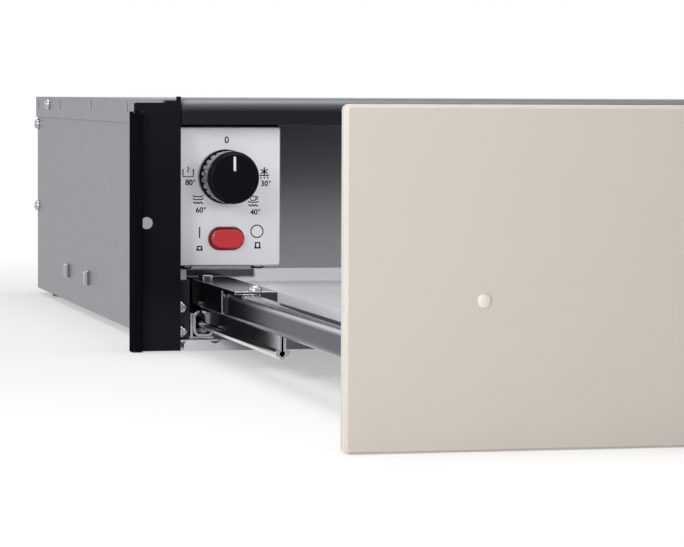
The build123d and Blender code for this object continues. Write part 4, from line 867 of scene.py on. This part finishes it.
# %% Gland ribs
RIB_COUNT, RIB_HALF_WIDTH, RIB_RISE = 16, 0.7, 0.5
RIB_SUNK, RIB_REACH, RIB_STEPS = 0.4, RIB_RISE + 0.35, 8
RIB_SECTIONS = ((0.2, 0.3), (0.5, 1.0), (2.4, 1.0), (2.8, 0.3))
gland_low, gland_high = (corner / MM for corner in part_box("cable_gland"))
gland_x, gland_z = (gland_low.x + gland_high.x) / 2, (gland_low.z + gland_high.z) / 2
gland_radius = (gland_high.x - gland_low.x) / 2 - RIB_RISE


def rib(work):
    """Cross-sections at (distance from the sheet, share of the full section), towards the rim's face."""
    rings = []
    for away, share in RIB_SECTIONS:
        ring = []
        for step in range(RIB_STEPS + 1):
            turn = math.pi * step / RIB_STEPS
            reach = gland_radius - RIB_SUNK + RIB_REACH * share * math.sin(turn)
            ring.append((RIB_HALF_WIDTH * share * math.cos(turn), REAR_FACE + away, reach))
        rings.append(ring)
    skin(work, rings)


repeated(
    "gland_ribs", mesh_from("Rib", rib), RIB_COUNT, (0, 0, 0), (0, 360 / RIB_COUNT, 0),
    "black_plastic", "casing", (gland_x, 0, gland_z),
)

# %% [markdown]
# ### Terminal screws
# Mains terminals are clamped by slotted screws that sit deep in the block, out of reach of a
# finger. One screw is a short round bar with a slot across its top.

# %% Terminal screws
SCREW_RADIUS, SCREW_TOP, SCREW_FOOT = 1.45, 65.4, 58.2
SCREW_SIDES, MOON_STEPS = 16, 8
SLOT_HALF, SLOT_FLOOR = 0.3, 64.7
TERMINAL_FIRST, TERMINAL_PITCH, TERMINAL_COUNT, TERMINAL_Y = -255.0, 10.0, 3, 470.0


def terminal_screw(work):
    """A shank, and two half-moons that leave a slot between them."""
    turns = [math.tau * side / SCREW_SIDES for side in range(SCREW_SIDES)]
    circle = [(SCREW_RADIUS * math.cos(turn), SCREW_RADIUS * math.sin(turn)) for turn in turns]
    skin(work, [[(x, y, z) for x, y in circle] for z in (SCREW_FOOT, SLOT_FLOOR)])
    start = math.asin(SLOT_HALF / SCREW_RADIUS)
    for half in (0, math.pi):
        arc_turns = [
            half + start + (math.pi - 2 * start) * step / MOON_STEPS for step in range(MOON_STEPS + 1)
        ]
        moon = [(SCREW_RADIUS * math.cos(turn), SCREW_RADIUS * math.sin(turn)) for turn in arc_turns]
        skin(work, [[(x, y, z) for x, y in moon] for z in (SLOT_FLOOR, SCREW_TOP)])


repeated(
    "terminal_screws", mesh_from("Terminal screw", terminal_screw), TERMINAL_COUNT,
    (TERMINAL_PITCH, 0, 0), (0, 0, 0), "zinc_screws", "casing", (TERMINAL_FIRST, TERMINAL_Y, 0),
)

# %% [markdown]
# ## The print on the fascia
# The fascia carries black screen print: degrees with small pictures round the knob, and the signs
# for on and off beside the button. Print is a skin of ink, so it is modelled as very flat shapes
# on the face of the plate. Lines are curves with a thin round section that are pressed flat, and
# figures are text. A thin round edge on the text makes it as bold as the lines, and it is pressed
# flat as well.

# %% Lines and figures as flat meshes
INK_HEIGHT = 0.03
FIGURE_WEIGHT, FIGURE_SHARE = 0.12, 0.69
STROKE_MM, WAVE_STEPS = 0.74, 6
FACE_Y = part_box("control_fascia")[0].y


def pressed_flat(owner, depth_mm, place):
    """Turns a curve or text in the X-Z plane into a flat mesh on the fascia."""
    evaluated = owner.evaluated_get(bpy.context.evaluated_depsgraph_get())
    mesh = bpy.data.meshes.new_from_object(evaluated)
    flat = Matrix.Diagonal((1, INK_HEIGHT / depth_mm, 1, 1))
    mesh.transform(Matrix.Translation((0, FACE_Y, 0)) @ flat @ place)
    data = owner.data
    bpy.data.objects.remove(owner)
    bpy.data.curves.remove(data)
    return mesh


def ink_lines(name, strokes, width_mm):
    """Flat lines through points given as (X, Z) in millimetres. A stroke is (closed, points)."""
    curve = bpy.data.curves.new(name, "CURVE")
    curve.dimensions = "3D"
    curve.bevel_depth = width_mm / 2 * MM
    curve.bevel_resolution = 1
    curve.use_fill_caps = True
    for closed, points in strokes:
        spline = curve.splines.new("POLY")
        spline.points.add(len(points) - 1)
        for point, (x, z) in zip(spline.points, points):
            point.co = (x * MM, 0, z * MM, 1)
        spline.use_cyclic_u = closed
    owner = bpy.data.objects.new(name, curve)
    scene.collection.objects.link(owner)
    return pressed_flat(owner, width_mm / 2, Matrix.Identity(4))


def ink_text(text, x, z, height_mm):
    """Flat figures, centred on (X, Z) in millimetres. A figure is FIGURE_SHARE of its font size high."""
    curve = bpy.data.curves.new("Figure", "FONT")
    curve.body = text
    curve.align_x, curve.align_y = "CENTER", "CENTER"
    curve.size = height_mm / FIGURE_SHARE * MM
    curve.bevel_depth = FIGURE_WEIGHT * MM
    curve.bevel_resolution = 1
    curve.resolution_u = 4
    owner = bpy.data.objects.new("Figure", curve)
    scene.collection.objects.link(owner)
    upright = Matrix.Rotation(math.radians(90), 4, "X")
    return pressed_flat(owner, FIGURE_WEIGHT, Matrix.Translation((x * MM, 0, z * MM)) @ upright)


def arc(x, z, radius, first, last, steps):
    """Points on an arc in the plane of the fascia, with angles in degrees."""
    turns = [math.radians(first + (last - first) * step / steps) for step in range(steps + 1)]
    return [(x + radius * math.cos(turn), z + radius * math.sin(turn)) for turn in turns]


def wave(x, z, length, height, bumps):
    """A wavy line that starts at the left."""
    steps = bumps * WAVE_STEPS
    return [
        (x + length * step / steps, z + height * math.sin(math.pi * bumps * step / steps))
        for step in range(steps + 1)
    ]


def moved(points, x, z):
    """An open stroke that is drawn round its own origin, put at its place."""
    return False, [(x + across, z + up) for across, up in points]


# %% Figures
FIGURES = (
    ("0", -239.9, 119.0, 3.7), ("80", -261.8, 94.7, 3.0), ("60", -255.7, 78.9, 3.0),
    ("30", -217.8, 94.0, 3.0), ("40", -223.9, 77.6, 3.0),
)
DEGREE_ASIDE, DEGREE_UP, DEGREE_RADIUS, DEGREE_STROKE = 3.1, 1.2, 0.5, 0.6 * STROKE_MM
for number, (text, x, z, height) in enumerate(FIGURES):
    add_piece(f"figure_{number}", ink_text(text, x, z, height), "black_plastic", "casing")
degrees = [
    (True, arc(x + DEGREE_ASIDE, z + DEGREE_UP, DEGREE_RADIUS, 0, 330, 11))
    for text, x, z, height in FIGURES[1:]
]
add_piece("degree_signs", ink_lines("Degrees", degrees, DEGREE_STROKE), "black_plastic", "casing")
print("figures:", [entry[0] for entry in FIGURES])

# %% [markdown]
# ### Pictures beside the figures
# Each degree has a small picture: a hot dish for 80, plates over warm air for 60, a snow crystal
# for thawing at 30 and a cup over warm air for 40. Each is drawn round its own origin and then
# put in its place.

# %% Pictures
FROST_ARM, FROST_TICK = 2.4, 0.35

dish = [
    [(-3.0, 4.4), (-3.0, 0), (3.0, 0), (3.0, 4.4)],
    [(-0.2, 5.8), (0.3, 4.6), (-0.3, 3.6), (0.1, 2.4)],
]
plates = [[(-3.1, rise + 0.8), (-2.0, rise), (2.0, rise), (3.1, rise + 0.8)] for rise in (2.2, 3.9)]
plates.append(wave(-2.8, 0.4, 5.6, 0.4, 6))
arms = [math.radians(turn) for turn in range(30, 390, 60)]
frost = [[(0, 0), (FROST_ARM * math.cos(turn), FROST_ARM * math.sin(turn))] for turn in arms]
frost += [[(-2.8, -2.2), (2.8, -2.2)]]
frost += [
    [(step - FROST_TICK, rise), (step + FROST_TICK, rise)]
    for step in (-2.0, 0.0, 2.0) for rise in (-3.3, -3.8)
]
cup = [
    [(-2.0, 4.6), (-1.4, 2.3), (1.2, 2.3), (1.8, 4.6), (-2.0, 4.6)],
    arc(1.7, 3.6, 0.9, 80, -90, 6),
    [(-3.1, 1.8), (-2.2, 1.2), (2.2, 1.2), (3.1, 1.8)],
    wave(-2.8, -0.6, 5.6, 0.4, 6),
]
PLACES = ((dish, -262.3, 98.1), (plates, -256.5, 82.8), (frost, -217.9, 101.0), (cup, -224.4, 82.2))
ink = [moved(points, x, z) for picture, x, z in PLACES for points in picture]
add_piece("pictures", ink_lines("Pictures", ink, STROKE_MM), "black_plastic", "casing")
print("strokes in the pictures:", len(ink))

# %% [markdown]
# ### Signs for on and off
# A bar and a circle are the common signs for on and off. Below each is a small push key, drawn
# pressed in for on and standing proud for off.

# %% Signs for on and off
KEY_FOOT, KEY_HALF, KEY_STROKE = 1.9, 1.2, 1.3 * STROKE_MM

signs = [(False, [(-255.6, 63.0), (-255.6, 69.4)]), (True, arc(-222.1, 66.7, 3.55, 0, 348, 29))]
add_piece("power_signs", ink_lines("Signs", signs, STROKE_MM), "black_plastic", "casing")
keys = []
for x, z, rise in ((-255.6, 56.2, 2.0), (-221.7, 57.2, 3.0)):
    left, right = x - KEY_HALF, x + KEY_HALF
    keys.append((False, [(x - KEY_FOOT, z), (x + KEY_FOOT, z)]))
    keys.append((False, [(left, z), (left, z + rise), (right, z + rise), (right, z)]))
add_piece("key_signs", ink_lines("Keys", keys, KEY_STROKE), "black_plastic", "casing")
print("power signs:", len(signs) + len(keys))

# %% Sizes and the last line
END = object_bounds()
kept = all(abs(a - b) < MM for old, new in zip(START, END) for a, b in zip(old, new))
print("same outer size as the frame:", kept)
